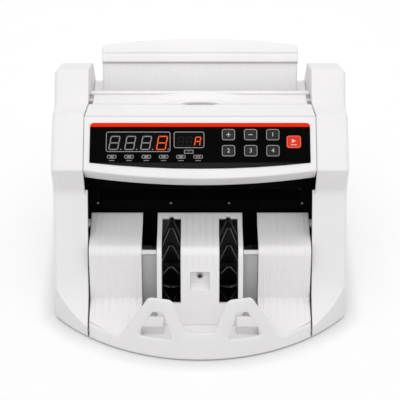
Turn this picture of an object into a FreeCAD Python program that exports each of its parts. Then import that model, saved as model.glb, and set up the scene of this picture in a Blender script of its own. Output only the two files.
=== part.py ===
import FreeCAD, Part
import math
import os
import re
import Sketcher

# A desk machine that counts banknotes.
# Millimetres. X to the operator's right, Y towards the back, Z up, feet on Z = 0.

DIMENSIONS = {
    # Overall
    "body_width": 242,
    "body_depth": 240,
    "front_radius": 155,
    "wall": 2.5,
    "sheet": 2.2,
    "fit_gap": 0.3,
    "running_gap": 0.05,
    "overcut": 1,
    "skirt_height": 1.2,
    "foot_height": 3,
    "foot_radius": 7,
    "floor_thickness": 2.5,
    "rear_face": 112,
    # Side cheeks, as corners of their side outline
    "cheek_inner": 92.5,
    "cheek_edge_radius": 4,
    "shoulder_height": 132,
    "crown_rear_y": 84,
    "crown_rear_z": 164,
    "crown_front_y": 37,
    "crown_front_z": 182.5,
    "ledge_rear_y": 19,
    "ledge_rear_z": 160,
    "undercut_y": -29,
    "undercut_z": 104,
    "undercut_radius": 8,
    "knee_y": -67,
    "knee_z": 25,
    "knee_radius": 50,
    "chin_y": -102.5,
    "inner_wall_base": 130,
    "inner_wall_front": 24,
    # Control panel, measured in its own tilted plane
    "panel_tilt": 42,
    "panel_y": -21.2,
    "panel_z": 144.5,
    "panel_half_width": 94.5,
    "panel_top": 26.5,
    "panel_bottom": 28.6,
    "panel_bow": 6.9,
    "panel_depth": 19,
    "deck_drop": 1.2,
    "crest_radius": 4,
    "crease_radius": 1,
    "film_half_width": 89.6,
    "film_top": 18.7,
    "film_bottom": 20.2,
    "film_bow": 5.1,
    "film_thickness": 0.5,
    "film_corner": 3,
    "count_left": -76.1,
    "count_width": 51.7,
    "count_bottom": -5.7,
    "count_height": 16.5,
    "batch_left": -21,
    "batch_width": 24.2,
    "batch_bottom": -2.4,
    "batch_height": 13.2,
    "display_depth": 10,
    "window_corner": 1.6,
    "lamp_first": -71.5,
    "lamp_pitch": 14,
    "lamp_row": -10.1,
    "lamp_width": 7.5,
    "lamp_height": 3.1,
    "lamp_depth": 6,
    "spare_lamp_x": -9.1,
    "spare_lamp_row": -5.9,
    "key_first": 23.1,
    "key_pitch": 18,
    "key_upper_row": 8.2,
    "key_lower_row": -5.4,
    "key_width": 10.8,
    "key_height": 9.6,
    "key_corner": 2,
    "key_rise": 1.4,
    "key_depth": 9,
    "red_key_x": 76.1,
    "red_key_row": 2.2,
    "red_key_width": 11.6,
    "red_key_height": 10.3,
    "board_depth": 12,
    "board_thickness": 1.6,
    "switch_side": 6,
    "switch_rise": 2,
    "socket_margin": 2,
    # Hopper
    "cover_rear_y": 37,
    "cover_rear_z": 159,
    "cover_front_z": 160.4,
    "cover_half_width": 89,
    "cover_pivot_y": 31,
    "cover_pivot_z": 156.4,
    "cover_pin_radius": 1.5,
    "knuckle_length": 5,
    "knuckle_half": 2,
    "notch_radius": 40,
    "notch_depth": 3.2,
    "scoop_radius": 120,
    "scoop_setback": 11,
    "scoop_depth": 1.4,
    "bar_y": 41.6,
    "bar_z": 157.4,
    "bar_radius": 2.3,
    "flap_lean": 27.8,
    "flap_pivot_y": 72.5,
    "flap_pivot_z": 138,
    "flap_half_width": 84.5,
    "flap_corner_height": 43.5,
    "flap_bow": 5.5,
    "flap_foot": 3,
    "flap_corner_radius": 5,
    "lip_start": 29,
    "lip_thickness": 5.5,
    "flap_pin_radius": 2.5,
    "flap_pin_root": 8,
    "flap_draft": 1,
    "groove_radius": 1,
    "groove_depth": 0.5,
    "hopper_floor_rear_y": 68,
    "hopper_floor_rear_z": 132.5,
    "hopper_floor_front_y": 47,
    "hopper_floor_front_z": 127.5,
    # Stacker
    "plate_edge": 91.3,
    "side_plate_inner": 48,
    "centre_half_width": 35.5,
    "shelf_rear_y": -12.5,
    "shelf_rear_z": 73,
    "shelf_mid_y": -28.5,
    "shelf_mid_z": 68.2,
    "nose_y": -59.5,
    "nose_z": 67.8,
    "nose_radius": 8,
    "wall_foot_y": -63.5,
    "wall_foot_z": 20.5,
    "floor_crease": 3,
    "shelf_crease": 60,
    "lug_length": 8,
    "lug_setback": 4,
    "floor_fall": 0.29,
    "floor_inner": 30,
    "floor_inner_front": -91,
    "floor_inner_rear": -80.6,
    "ramp_foot_y": -80,
    "slot_inner": 15.9,
    "slot_outer": 31.5,
    "slot_rear": -17.5,
    "slot_foot": 23,
    "slot_notch_radius": 2,
    "cross_bar_rear": -55.5,
    "cross_bar_low": 62,
    "channel_plate_y": -55.5,
    "channel_plate_top": 59.5,
    "recess_half_width": 7.9,
    "recess_low": 33,
    "recess_high": 49,
    "recess_rear": -61.5,
    "recess_fall": 8,
    "recess_rise": 3,
    "sensor_z": 43,
    "sensor_radius": 2.1,
    "sensor_rim": 0.6,
    "sensor_lip": 0.8,
    "sensor_length": 8,
    "sensor_wall": 0.7,
    "fence_thickness": 2.8,
    "fence_lean": 6,
    "fence_half_width": 91.2,
    "fence_end_height": 13.2,
    "fence_side_height": 12,
    "fence_mid_height": 25,
    "hump_height": 54.5,
    "hump_outer_foot": 65,
    "hump_outer_top": 41,
    "hump_inner_top": 22,
    "hump_inner_foot": 11.5,
    "hump_corner": 6,
    "hole_top": 42.4,
    "hole_top_outer": 38,
    "hole_top_inner": 29.5,
    "hole_low_outer": 51.5,
    "hole_low_outer_z": 17.5,
    "hole_low_inner": 22,
    "hole_low_inner_z": 18,
    "hole_corner": 3,
    "guide_y": -10,
    "guide_low": 38,
    "guide_top": 114,
    "guide_notch_top": 66,
    "guide_lip_y": -0.5,
    "guide_lip_z": 88.6,
    "exit_low": 84,
    "exit_high": 95,
    "exit_half_width": 84,
    # Frames and shafts
    "frame_inner": "=cheek_inner + wall + fit_gap",
    "frame_thickness": 2,
    "frame_corner": 3,
    "frame_brow_y": -10,
    "frame_brow_z": 130,
    "frame_chest_y": -18,
    "frame_chest_z": 104,
    "frame_neck_y": -45,
    "frame_neck_z": 60,
    "frame_toe_y": -57,
    "frame_toe_z": 30,
    "frame_foot_y": -66,
    "bush_wall": 2.5,
    "bush_length": 4,
    "shaft_radius": 4,
    "thin_shaft_radius": 3,
    "shaft_reach": 99.6,
    "impeller_y": -38,
    "impeller_z": 41,
    "impeller_radius": 34.5,
    "impeller_hub": 22,
    "impeller_x": 23.7,
    "impeller_width": 14.6,
    "vane_count": 12,
    "vane_offset": 19,
    "vane_thickness": 1.6,
    "vane_point": 14,
    "feed_y": 36,
    "feed_z": 108,
    "feed_radius": 17,
    "pickup_y": 62,
    "pickup_z": 120.6,
    "pickup_radius": 11.5,
    "transport_y": 12,
    "transport_z": 86,
    "transport_radius": 10,
    "pinch_y": 0.5,
    "pinch_z": 97.5,
    "pinch_radius": 6,
    "retard_y": 17.8,
    "retard_z": 126.2,
    "retard_radius": 8.4,
    "roller_x": 28,
    "roller_width": 20,
    "outer_roller_x": 62,
    "rod_radius": 4,
    "front_rod_y": 5,
    "front_rod_z": 60,
    "middle_rod_y": 60,
    "middle_rod_z": 90,
    "rear_rod_y": 96,
    "rear_rod_z": 64,
    # Drives
    "belt_width": 6,
    "belt_thickness": 1.2,
    "inner_track": 100.2,
    "outer_track": 108,
    "pulley_flange": 0.7,
    "drive_pulley_radius": 9,
    "feed_pulley_radius": 14,
    "timing_pulley_radius": 10,
    "stacker_drive_radius": 8,
    "impeller_pulley_radius": 12,
    "motor_y": 78,
    "motor_z": 40,
    "motor_radius": 22,
    "motor_length": 58,
    "motor_shaft_radius": 3,
    "stacker_motor_y": 20,
    "stacker_motor_z": 34,
    "stacker_motor_radius": 17,
    "stacker_motor_length": 50,
    # Electrics and rear
    "transformer_width": 56,
    "transformer_y": 44,
    "transformer_depth": 44,
    "transformer_height": 44,
    "core_margin": 7,
    "main_board_left": -85,
    "main_board_width": 90,
    "main_board_low": 71,
    "main_board_height": 48,
    "main_board_y": 100,
    "standoff_radius": 3,
    "post_margin": 5,
    "heat_sink_left": 12,
    "heat_sink_width": 28,
    "heat_sink_low": 6,
    "heat_sink_height": 20,
    "heat_sink_depth": 12,
    "capacitor_count": 3,
    "capacitor_radius": 5,
    "capacitor_length": 14,
    "capacitor_first": 52,
    "capacitor_pitch": 13,
    "capacitor_row": 12,
    "chip_left": 50,
    "chip_side": 14,
    "chip_low": 26,
    "chip_thickness": 2,
    "cover_crease_y": 90,
    "cover_crease_z": 142,
    "vent_count": 11,
    "vent_left": -78,
    "vent_pitch": 7,
    "vent_width": 3,
    "vent_low": 22,
    "vent_height": 30,
    "inlet_x": 62,
    "inlet_z": 36,
    "inlet_width": 27.5,
    "inlet_height": 20,
    "inlet_depth": 20,
    "inlet_border": 4,
    "inlet_flange": 2,
    "inlet_wall": 2,
    "inlet_floor": 3,
    "rocker_x": 22,
    "rocker_width": 12,
    "rocker_height": 20,
    "rocker_depth": 14,
    "rocker_border": 2,
    "rocker_clearance": 1.2,
    "rocker_sink": 5,
    "rocker_draft": 1,
    "rocker_rise": 2.2,
    "rocker_dip": 0.8,
    "rocker_pin_radius": 1.2,
    "rocker_pin_depth": 3,
    "rocker_pin_reach": 1.5,
    "switch_flange": 1.5,
    "switch_floor": 2,
    "inlet_pin_half": 0.9,
    "inlet_pin_height": 4,
    "inlet_pin_recess": 3,
    "knob_x": 40,
    "knob_z": 104,
    "knob_radius": 9,
    "knob_shaft_length": 12,
    "knob_seat": 2,
    "screw_radius": 3,
    "screw_head": 1.4,
    "screw_inset": 8,
    "screw_margin": 16,
}

doc = FreeCAD.newDocument("BanknoteCounter")
sheet = doc.addObject("Spreadsheet::Sheet", "size")
for row, (alias, number) in enumerate(DIMENSIONS.items(), start=1):
    sheet.set(f"A{row}", alias)
    sheet.set(f"B{row}", str(number))
    sheet.setAlias(f"B{row}", alias)
doc.recompute()

nodes = []
NEAR = 0.01
GUESS = 50


def size(alias):
    """The number in the sheet under this name."""
    return float(sheet.get(alias))


def bind(thing, path, text):
    """Tie a property to an expression in the sheet's names."""
    words = re.sub(r"[a-z][a-z_]+", lambda word: named(word.group()), text)
    thing.setExpression(path, words)


def named(word):
    return "size." + word if word in DIMENSIONS else word


def node(thing, label):
    """Mark a finished sub-part and give it the name of its file."""
    thing.Label = label
    nodes.append(thing)
    return thing


# Building blocks

def block(name, x, y, z):
    """A box between two corners, each side given as a pair of expressions."""
    box = doc.addObject("Part::Box", name)
    for side, axis, (low, high) in (("Length", "x", x), ("Width", "y", y), ("Height", "z", z)):
        bind(box, side, f"({high}) - ({low})")
        bind(box, f"Placement.Base.{axis}", low)
    return box


TURNS = {
    "X": FreeCAD.Rotation(FreeCAD.Vector(0, 1, 0), 90),
    "Y": FreeCAD.Rotation(FreeCAD.Vector(1, 0, 0), -90),
    "Z": FreeCAD.Rotation(),
}


def rod(name, axis, radius, low, high, centre):
    """A cylinder along X, Y or Z from low to high, centred on the other two coordinates."""
    cylinder = doc.addObject("Part::Cylinder", name)
    cylinder.Placement = FreeCAD.Placement(FreeCAD.Vector(), TURNS[axis])
    bind(cylinder, "Radius", radius)
    bind(cylinder, "Height", f"({high}) - ({low})")
    others = [letter for letter in "XYZ" if letter != axis]
    bind(cylinder, f"Placement.Base.{axis.lower()}", low)
    for letter, place in zip(others, centre):
        bind(cylinder, f"Placement.Base.{letter.lower()}", place)
    return cylinder


def origin_plane(body, role):
    return next(feature for feature in body.Origin.OriginFeatures if feature.Role == role)


def draw_polygon(sketch, corners):
    """A closed outline whose corners are tied to the sheet."""
    start = len(sketch.Geometry)
    count = len(corners)
    guess = [
        FreeCAD.Vector(GUESS * math.cos(angle), GUESS * math.sin(angle), 0)
        for angle in (2 * math.pi * i / count for i in range(count))
    ]
    for i in range(count):
        sketch.addGeometry(Part.LineSegment(guess[i], guess[(i + 1) % count]), False)
    for i in range(count):
        following = start + (i + 1) % count
        sketch.addConstraint(Sketcher.Constraint("Coincident", start + i, 2, following, 1))
    for i, (across, up) in enumerate(corners):
        for kind, text, place in (("DistanceX", across, guess[i].x), ("DistanceY", up, guess[i].y)):
            rule = sketch.addConstraint(Sketcher.Constraint(kind, -1, 1, start + i, 1, place))
            bind(sketch, f"Constraints[{rule}]", text)


def draw_circle(sketch, across, up, radius):
    """A circle whose centre and radius are tied to the sheet."""
    circle = Part.Circle(FreeCAD.Vector(GUESS, GUESS, 0), FreeCAD.Vector(0, 0, 1), GUESS)
    index = sketch.addGeometry(circle, False)
    for kind, text in (("DistanceX", across), ("DistanceY", up)):
        rule = sketch.addConstraint(Sketcher.Constraint(kind, -1, 1, index, 3, GUESS))
        bind(sketch, f"Constraints[{rule}]", text)
    rule = sketch.addConstraint(Sketcher.Constraint("Radius", index, GUESS))
    bind(sketch, f"Constraints[{rule}]", radius)


def prism(name, plane, start, length, corners, holes=(), rounds=()):
    """A body padded from an outline on an origin plane, with holes and rounded corners.

    The outline lies at the distance start along the plane's normal: +X for YZ, +Z for XY
    and -Y for XZ. Each entry of rounds names corners by their place in the outline.
    """
    body = doc.addObject("PartDesign::Body", name)
    sketch = body.newObject("Sketcher::SketchObject", name + "_outline")
    sketch.AttachmentSupport = [(origin_plane(body, plane), "")]
    sketch.MapMode = "FlatFace"
    bind(sketch, "AttachmentOffset.Base.z", start)
    draw_polygon(sketch, corners)
    for hole in holes:
        draw_circle(sketch, *hole)
    pad = body.newObject("PartDesign::Pad", name + "_pad")
    pad.Profile = sketch
    bind(pad, "Length", length)
    doc.recompute()
    for radius, picked in rounds:
        round_corners(body, sketch, picked, radius)
    return body


def round_corners(body, sketch, picked, radius):
    """Round the pad's long edges that stand on the chosen corners of its outline."""
    places = [sketch.Placement.multVec(sketch.Geometry[i].StartPoint) for i in picked]
    normal = sketch.Placement.Rotation.multVec(FreeCAD.Vector(0, 0, 1))
    base = body.Tip
    names = []
    for index, edge in enumerate(base.Shape.Edges, start=1):
        ends = [vertex.Point for vertex in edge.Vertexes]
        if len(ends) == 2 and any(stands_on(ends, place, normal) for place in places):
            names.append(f"Edge{index}")
    fillet = body.newObject("PartDesign::Fillet", body.Name + "_round")
    fillet.Base = (base, names)
    bind(fillet, "Radius", radius)
    doc.recompute()


def stands_on(ends, place, normal):
    return all((end - place).cross(normal).Length < NEAR for end in ends)


def cut(name, base, *tools):
    """One shape less one or more others."""
    result = doc.addObject("Part::Cut", name)
    result.Base = base
    result.Tool = tools[0] if len(tools) == 1 else join(name + "_tools", *tools)
    return result


def join(name, *pieces):
    """Pieces moulded or made as one."""
    result = doc.addObject("Part::MultiFuse", name)
    result.Shapes = list(pieces)
    result.Refine = True
    return result


def common(name, *pieces):
    """What several shapes have in common."""
    result = doc.addObject("Part::MultiCommon", name)
    result.Shapes = list(pieces)
    return result


def gather(name, *pieces):
    """A group of separate pieces of the same kind."""
    result = doc.addObject("Part::Compound", name)
    result.Links = list(pieces)
    return result


def mirrored(name, source):
    """The same piece on the other side of the machine."""
    result = doc.addObject("Part::Mirroring", name)
    result.Source = source
    result.Normal = FreeCAD.Vector(1, 0, 0)
    return result


def soften(name, source, radius, chosen):
    """Round the edges that the test picks out."""
    doc.recompute()
    result = doc.addObject("Part::Fillet", name)
    result.Base = source
    result.Edges = [
        (index, size(radius), size(radius))
        for index, edge in enumerate(source.Shape.Edges, start=1)
        if chosen(edge)
    ]
    return result


def on_panel(thing):
    """Lay a piece drawn flat onto the tilted plane of the control panel."""
    thing.Placement = FreeCAD.Placement(FreeCAD.Vector(), FreeCAD.Rotation(FreeCAD.Vector(1, 0, 0), 1))
    bind(thing, "Placement.Base.y", "panel_y")
    bind(thing, "Placement.Base.z", "panel_z")
    bind(thing, "Placement.Rotation.Angle", "panel_tilt")
    return thing


def on_flap(thing):
    """Lay a piece drawn flat onto the leaning hopper flap."""
    thing.Placement = FreeCAD.Placement(FreeCAD.Vector(), FreeCAD.Rotation(FreeCAD.Vector(1, 0, 0), 1))
    bind(thing, "Placement.Base.y", "flap_pivot_y")
    bind(thing, "Placement.Base.z", "flap_pivot_z")
    bind(thing, "Placement.Rotation.Angle", "90 - flap_lean")
    return thing


def far_out(edge, across):
    """An edge that lies wholly in the plane X = across."""
    return all(abs(vertex.X - across) < NEAR for vertex in edge.Vertexes)


# Plan of the whole machine: straight sides and a bowed front

def plan(name, inset, low, high):
    """The upright space inside the bowed front and straight sides, less an inset."""
    half = f"body_width / 2 - ({inset})"
    radius = f"front_radius - ({inset})"
    middle = "front_radius - body_depth / 2"
    corner = f"{middle} - sqrt(({radius})^2 - ({half})^2)"
    drum = rod(name + "_drum", "Z", radius, low, high, ("0", middle))
    nose = block(name + "_nose", (f"-({half})", half), ("-body_depth / 2", corner), (low, high))
    back = block(name + "_back", (f"-({half})", half), (corner, f"rear_face - ({inset})"), (low, high))
    return join(name, common(name + "_front", drum, nose), back)


HIGH = "crown_front_z + 30"
FLOOR_TOP = "foot_height + floor_thickness"
CREST_Y = "panel_y + panel_top * cos(panel_tilt)"
CREST_Z = "panel_z + panel_top * sin(panel_tilt)"
BROW_Y = "panel_y - (panel_bottom - panel_bow) * cos(panel_tilt)"
BROW_Z = "panel_z - (panel_bottom - panel_bow) * sin(panel_tilt)"


# Side cheeks: hollow shells with an inner wall beside the hopper

def cheek():
    outline = [
        ("rear_face", "skirt_height"),
        ("rear_face", "shoulder_height"),
        ("crown_rear_y", "crown_rear_z"),
        ("crown_front_y", "crown_front_z"),
        ("ledge_rear_y", "ledge_rear_z"),
        (CREST_Y, CREST_Z),
        (BROW_Y, BROW_Z),
        ("undercut_y", "undercut_z"),
        ("knee_y", "knee_z"),
        ("chin_y", "skirt_height"),
    ]
    width = "body_width / 2 - cheek_inner"
    solid = prism(
        "cheek_solid", "YZ_Plane", "cheek_inner", width, outline,
        rounds=[
            ("cheek_edge_radius", [2, 3]), ("crease_radius", [5, 6]),
            ("undercut_radius", [7]), ("knee_radius", [8]),
        ],
    )
    outside = common("cheek_outside", solid, plan("cheek_plan", "0", "0", HIGH))
    outer = size("body_width") / 2
    rounded = soften(
        "cheek_rounded", outside, "cheek_edge_radius",
        lambda edge: far_out(edge, outer) and edge.BoundBox.ZMax > size("skirt_height") + size("wall"),
    )

    inset = doc.addObject("Part::Offset2D", "cheek_inset")
    inset.Source = prism_sketch(solid)
    inset.Join = 2
    bind(inset, "Value", "-wall")
    hollow = extrusion("cheek_hollow", inset, "body_width / 2 - wall - cheek_inner")
    below = block(
        "cheek_open_base", ("cheek_inner - overcut", "body_width / 2 - wall"),
        ("chin_y", "rear_face - wall"), ("0", "skirt_height + 4 * wall"),
    )
    cavity = join("cheek_cavity", hollow, below)
    room = common("cheek_room", cavity, plan("cheek_room_plan", "wall", "0", HIGH))
    inner_wall = block(
        "cheek_inner_wall", ("cheek_inner", "cheek_inner + wall"),
        ("inner_wall_front", "rear_face"), ("inner_wall_base", HIGH),
    )
    seat_block = block(
        "cheek_seat_block", ("0", "panel_half_width + fit_gap"),
        ("-panel_bottom - panel_bow", "panel_top + fit_gap"), ("-panel_depth - panel_bow", "panel_bow"),
    )
    seat = on_panel(gather("cheek_seat", seat_block))
    deck_seat = deck_plan("cheek_deck_seat", "fit_gap", "ledge_rear_z - panel_depth", HIGH)
    pin_holes = [
        rod("cheek_cover_hole", "X", "cover_pin_radius + running_gap", "0", "cheek_inner + wall + overcut",
            ("cover_pivot_y", "cover_pivot_z")),
        rod("cheek_flap_hole", "X", "flap_pin_radius + running_gap", "0", "cheek_inner + wall + overcut",
            ("flap_pivot_y", "flap_pivot_z")),
    ]
    hollowing = cut("cheek_hollowing", room, inner_wall)
    return cut("cheek", rounded, hollowing, seat, deck_seat, *pin_holes)


def deck_plan(name, gap, low, high):
    """The upright space of the deck behind the panel, drawn in towards the hopper."""
    wide = f"panel_half_width + {gap}"
    narrow = f"cheek_inner + {gap}"
    front = f"{CREST_Y} - panel_depth"
    back = f"ledge_rear_y + {gap}"
    return prism(name, "XY_Plane", low, f"({high}) - ({low})", [
        (f"-({wide})", front),
        (wide, front),
        (wide, CREST_Y),
        (narrow, back),
        (f"-({narrow})", back),
        (f"-({wide})", CREST_Y),
    ])


def prism_sketch(body):
    return next(feature for feature in body.Group if feature.TypeId == "Sketcher::SketchObject")


def extrusion(name, outline, length):
    """A solid drawn out along +X from a flat outline."""
    result = doc.addObject("Part::Extrusion", name)
    result.Base = outline
    result.DirMode = "Custom"
    result.Dir = FreeCAD.Vector(1, 0, 0)
    result.Solid = True
    bind(result, "LengthFwd", length)
    return result


right_cheek = node(cheek(), "right_cheek")
left_cheek = node(mirrored("left_cheek", right_cheek), "left_cheek")


# Base tray with the bowed fence at the front, and its feet

def base_tray():
    floor = plan("tray_floor", "wall + fit_gap", "foot_height", FLOOR_TOP)
    rear_strip = block(
        "tray_rear_strip", ("-cheek_inner + fit_gap", "cheek_inner - fit_gap"),
        ("rear_face - 2 * wall", "rear_face"), ("foot_height", FLOOR_TOP),
    )
    middle = "front_radius - body_depth / 2"
    rise = "hump_height - skirt_height"
    outer = fence_cone("fence_outer", "front_radius", rise, middle)
    inner = fence_cone("fence_inner", "front_radius - fence_thickness", rise, middle)
    shell = common("fence_shell", cut("fence_ring", outer, inner), fence_outline())
    front = cut("fence_band", shell, *fence_holes())
    reach = common(
        "tray_reach", plan("tray_reach_plan", "fence_thickness / 2", "foot_height", FLOOR_TOP),
        block("tray_reach_room", ("-fence_half_width", "fence_half_width"),
              ("-body_depth / 2", "-body_depth / 4"), ("foot_height", FLOOR_TOP)),
    )
    return join("base_tray", floor, reach, rear_strip, front)


def fence_cone(name, radius, rise, middle):
    cone = doc.addObject("Part::Cone", name)
    bind(cone, "Radius1", radius)
    bind(cone, "Radius2", f"{radius} - ({rise}) * tan(fence_lean)")
    bind(cone, "Height", rise)
    bind(cone, "Placement.Base.y", middle)
    bind(cone, "Placement.Base.z", "skirt_height")
    return cone


def fence_outline():
    half = [
        ("fence_half_width", "fence_end_height"),
        ("hump_outer_foot", "fence_side_height"),
        ("hump_outer_top", "hump_height"),
        ("hump_inner_top", "hump_height"),
        ("hump_inner_foot", "fence_mid_height"),
    ]
    right = [("fence_half_width", "0")] + half
    left = [(f"-{across}", up) for across, up in reversed(half)] + [("-fence_half_width", "0")]
    return prism(
        "fence_outline", "XZ_Plane", "0", "body_depth", right + left,
        rounds=[("hump_corner", [2, 3, 4, 5, 8, 9, 7, 6])],
    )


def fence_holes():
    holes = []
    for side, sign in (("right", ""), ("left", "-")):
        corners = [
            (f"{sign}hole_low_outer", "hole_low_outer_z"),
            (f"{sign}hole_top_outer", "hole_top"),
            (f"{sign}hole_top_inner", "hole_top"),
            (f"{sign}hole_low_inner", "hole_low_inner_z"),
        ]
        holes.append(prism(
            f"fence_hole_{side}", "XZ_Plane", "0", "body_depth", corners,
            rounds=[("hole_corner", [0, 1, 2, 3])],
        ))
    return holes


node(base_tray(), "base_tray")

feet = [
    rod(f"foot_{number}", "Z", "foot_radius", "0", "foot_height", (across, along))
    for number, (across, along) in enumerate([
        ("front_radius / 2 - foot_radius", "-body_depth / 3"),
        ("foot_radius - front_radius / 2", "-body_depth / 3"),
        ("body_width / 2 - 3 * foot_radius", "rear_face - 3 * foot_radius"),
        ("3 * foot_radius - body_width / 2", "rear_face - 3 * foot_radius"),
    ])
]
node(gather("feet", *feet), "rubber_feet")


# Control panel

def bowed_slab(name, half_width, top, bottom, bow, low, high):
    """A flat slab whose lower edge bows down in the middle."""
    radius = f"(({half_width})^2 + ({bow})^2) / (2 * ({bow}))"
    slab = block(name + "_block", (f"-({half_width})", half_width), (f"-({bottom})", top), (low, high))
    disc = rod(name + "_disc", "Z", radius, low, high, ("0", f"{radius} - ({bottom})"))
    return common(name, slab, disc)


LAMPS = [(f"lamp_first + {i} * lamp_pitch", "lamp_row") for i in range(6)]
LAMPS.append(("spare_lamp_x", "spare_lamp_row"))

KEYS = [
    (f"key_{row}_{column + 1}", f"key_first + {column} * key_pitch", f"key_{row}_row",
     "key_width", "key_height")
    for row in ("upper", "lower")
    for column in range(3)
]
KEYS.append(("red_key", "red_key_x", "red_key_row", "red_key_width", "red_key_height"))


def pill(name, x, y, width, height, corner, low, high):
    """An upright block with rounded corners, in the panel's plane."""
    half_width = f"({width}) / 2"
    half_height = f"({height}) / 2"
    corners = [
        (f"{x} - {half_width}", f"{y} - {half_height}"),
        (f"{x} + {half_width}", f"{y} - {half_height}"),
        (f"{x} + {half_width}", f"{y} + {half_height}"),
        (f"{x} - {half_width}", f"{y} + {half_height}"),
    ]
    return prism(name, "XY_Plane", low, f"({high}) - ({low})", corners, rounds=[(corner, [0, 1, 2, 3])])


def panel_openings(name, low, high):
    """Cutters for the displays, lamps and keys, a fit gap larger all round."""
    tools = [
        pill(f"{name}_count", "count_left + count_width / 2", "count_bottom + count_height / 2",
             "count_width", "count_height", "window_corner", low, high),
        pill(f"{name}_batch", "batch_left + batch_width / 2", "batch_bottom + batch_height / 2",
             "batch_width", "batch_height", "window_corner", low, high),
    ]
    for number, (x, y) in enumerate(LAMPS):
        tools.append(pill(f"{name}_lamp_{number}", x, y, "lamp_width", "lamp_height",
                          "lamp_height / 2 - fit_gap", low, high))
    for key, x, y, width, height in KEYS:
        tools.append(pill(f"{name}_{key}", x, y, f"{width} + 2 * fit_gap", f"{height} + 2 * fit_gap",
                          "key_corner", low, high))
    return tools


def panel_housing():
    slab = bowed_slab("housing_slab", "panel_half_width", "panel_top", "panel_bottom", "panel_bow",
                      "-panel_depth", "0")
    crest = soften("housing_crest", slab, "crest_radius",
                   lambda edge: edge_at(edge, size("panel_top"), 0))
    creased = soften("housing_creased", crest, "crease_radius",
                     lambda edge: edge.BoundBox.YMax < 0 and abs(edge.BoundBox.ZMin) < NEAR
                     and edge.BoundBox.XLength > size("panel_half_width"))
    room = bowed_slab("housing_room", "panel_half_width - wall", "panel_top - wall",
                      "panel_bottom - wall", "panel_bow", "-panel_depth - overcut", "-wall")
    openings = panel_openings("housing_hole", "-wall - overcut", "overcut")
    shell = on_panel(cut("housing_shell", creased, room, *openings))
    deck_front = f"{CREST_Y} - deck_drop"
    deck_slab = prism(
        "deck_slab", "YZ_Plane", "-panel_half_width", "2 * panel_half_width",
        [
            (deck_front, f"{CREST_Z} - deck_drop"),
            (deck_front, f"{CREST_Z} - deck_drop - sheet"),
            ("ledge_rear_y", "ledge_rear_z - sheet"),
            ("ledge_rear_y", "ledge_rear_z"),
        ],
    )
    deck = common("housing_deck", deck_slab, deck_plan("deck_edges", "-fit_gap", "0", HIGH))
    return join("panel_housing", shell, cut("deck_scooped", deck, finger_scoop()))


def finger_scoop():
    """A shallow dish in the deck's back edge, under the notch of the cover."""
    ball = doc.addObject("Part::Sphere", "finger_scoop")
    bind(ball, "Radius", "scoop_radius")
    bind(ball, "Placement.Base.y", "ledge_rear_y + scoop_setback")
    bind(ball, "Placement.Base.z", "ledge_rear_z - scoop_depth + scoop_radius")
    return ball


def edge_at(edge, y, z):
    """An edge that runs along X at this place."""
    return all(abs(vertex.Y - y) < NEAR and abs(vertex.Z - z) < NEAR for vertex in edge.Vertexes)


node(panel_housing(), "panel_housing")

film = bowed_slab("film_slab", "film_half_width", "film_top", "film_bottom", "film_bow",
                  "0", "film_thickness")
film_rounded = soften("film_rounded", film, "film_corner",
                      lambda edge: edge.BoundBox.ZLength > NEAR and edge.BoundBox.YMax > 0)
film_openings = panel_openings("film_hole", "-overcut", "film_thickness + overcut")
node(on_panel(cut("panel_film", film_rounded, *film_openings)), "panel_film")

for label, part in (("count_display", "count"), ("batch_display", "batch")):
    node(on_panel(pill(
        label, f"{part}_left + {part}_width / 2", f"{part}_bottom + {part}_height / 2",
        f"{part}_width - 2 * running_gap", f"{part}_height - 2 * running_gap", "window_corner",
        "-display_depth", "film_thickness - running_gap",
    )), label)

lamps = [
    pill(f"lamp_{number}", x, y, "lamp_width - 2 * running_gap", "lamp_height - 2 * running_gap",
         "lamp_height / 2 - fit_gap", "-lamp_depth", "film_thickness - running_gap")
    for number, (x, y) in enumerate(LAMPS)
]
node(on_panel(gather("lamps", *lamps)), "indicator_lamps")

for key, x, y, width, height in KEYS:
    cap = pill(key, x, y, width, height, "key_corner", "-key_depth", "film_thickness + key_rise")
    node(on_panel(cap), key)


def display_board():
    board = block(
        "board_sheet", ("-film_half_width", "film_half_width"), ("-film_bottom + film_bow", "film_top"),
        ("-board_depth - board_thickness", "-board_depth"),
    )
    switches = [
        block(f"board_switch_{key}", (f"{x} - switch_side / 2", f"{x} + switch_side / 2"),
              (f"{y} - switch_side / 2", f"{y} + switch_side / 2"),
              ("-board_depth", "switch_rise - board_depth"))
        for key, x, y, width, height in KEYS
    ]
    lamp_posts = [
        block(f"board_lamp_{number}", (f"{x} - lamp_height / 2", f"{x} + lamp_height / 2"),
              (f"{y} - lamp_height / 3", f"{y} + lamp_height / 3"), ("-board_depth", "-lamp_depth"))
        for number, (x, y) in enumerate(LAMPS)
    ]
    sockets = [
        block(f"board_socket_{part}",
              (f"{part}_left + socket_margin", f"{part}_left + {part}_width - socket_margin"),
              (f"{part}_bottom + socket_margin", f"{part}_bottom + {part}_height - socket_margin"),
              ("-board_depth", "-display_depth"))
        for part in ("count", "batch")
    ]
    posts = [
        rod(f"board_post_{number}", "Z", "standoff_radius", "-board_depth", "-wall", (x, y))
        for number, (x, y) in enumerate([
            ("standoff_radius - film_half_width", "film_top - standoff_radius"),
            ("film_half_width - standoff_radius", "film_top - standoff_radius"),
        ])
    ]
    return join("display_board", board, *switches, *lamp_posts, *sockets, *posts)


node(on_panel(display_board()), "display_board")


# Hopper: hinged cover plate, guide bar, leaning back flap and sloping floor

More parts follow.
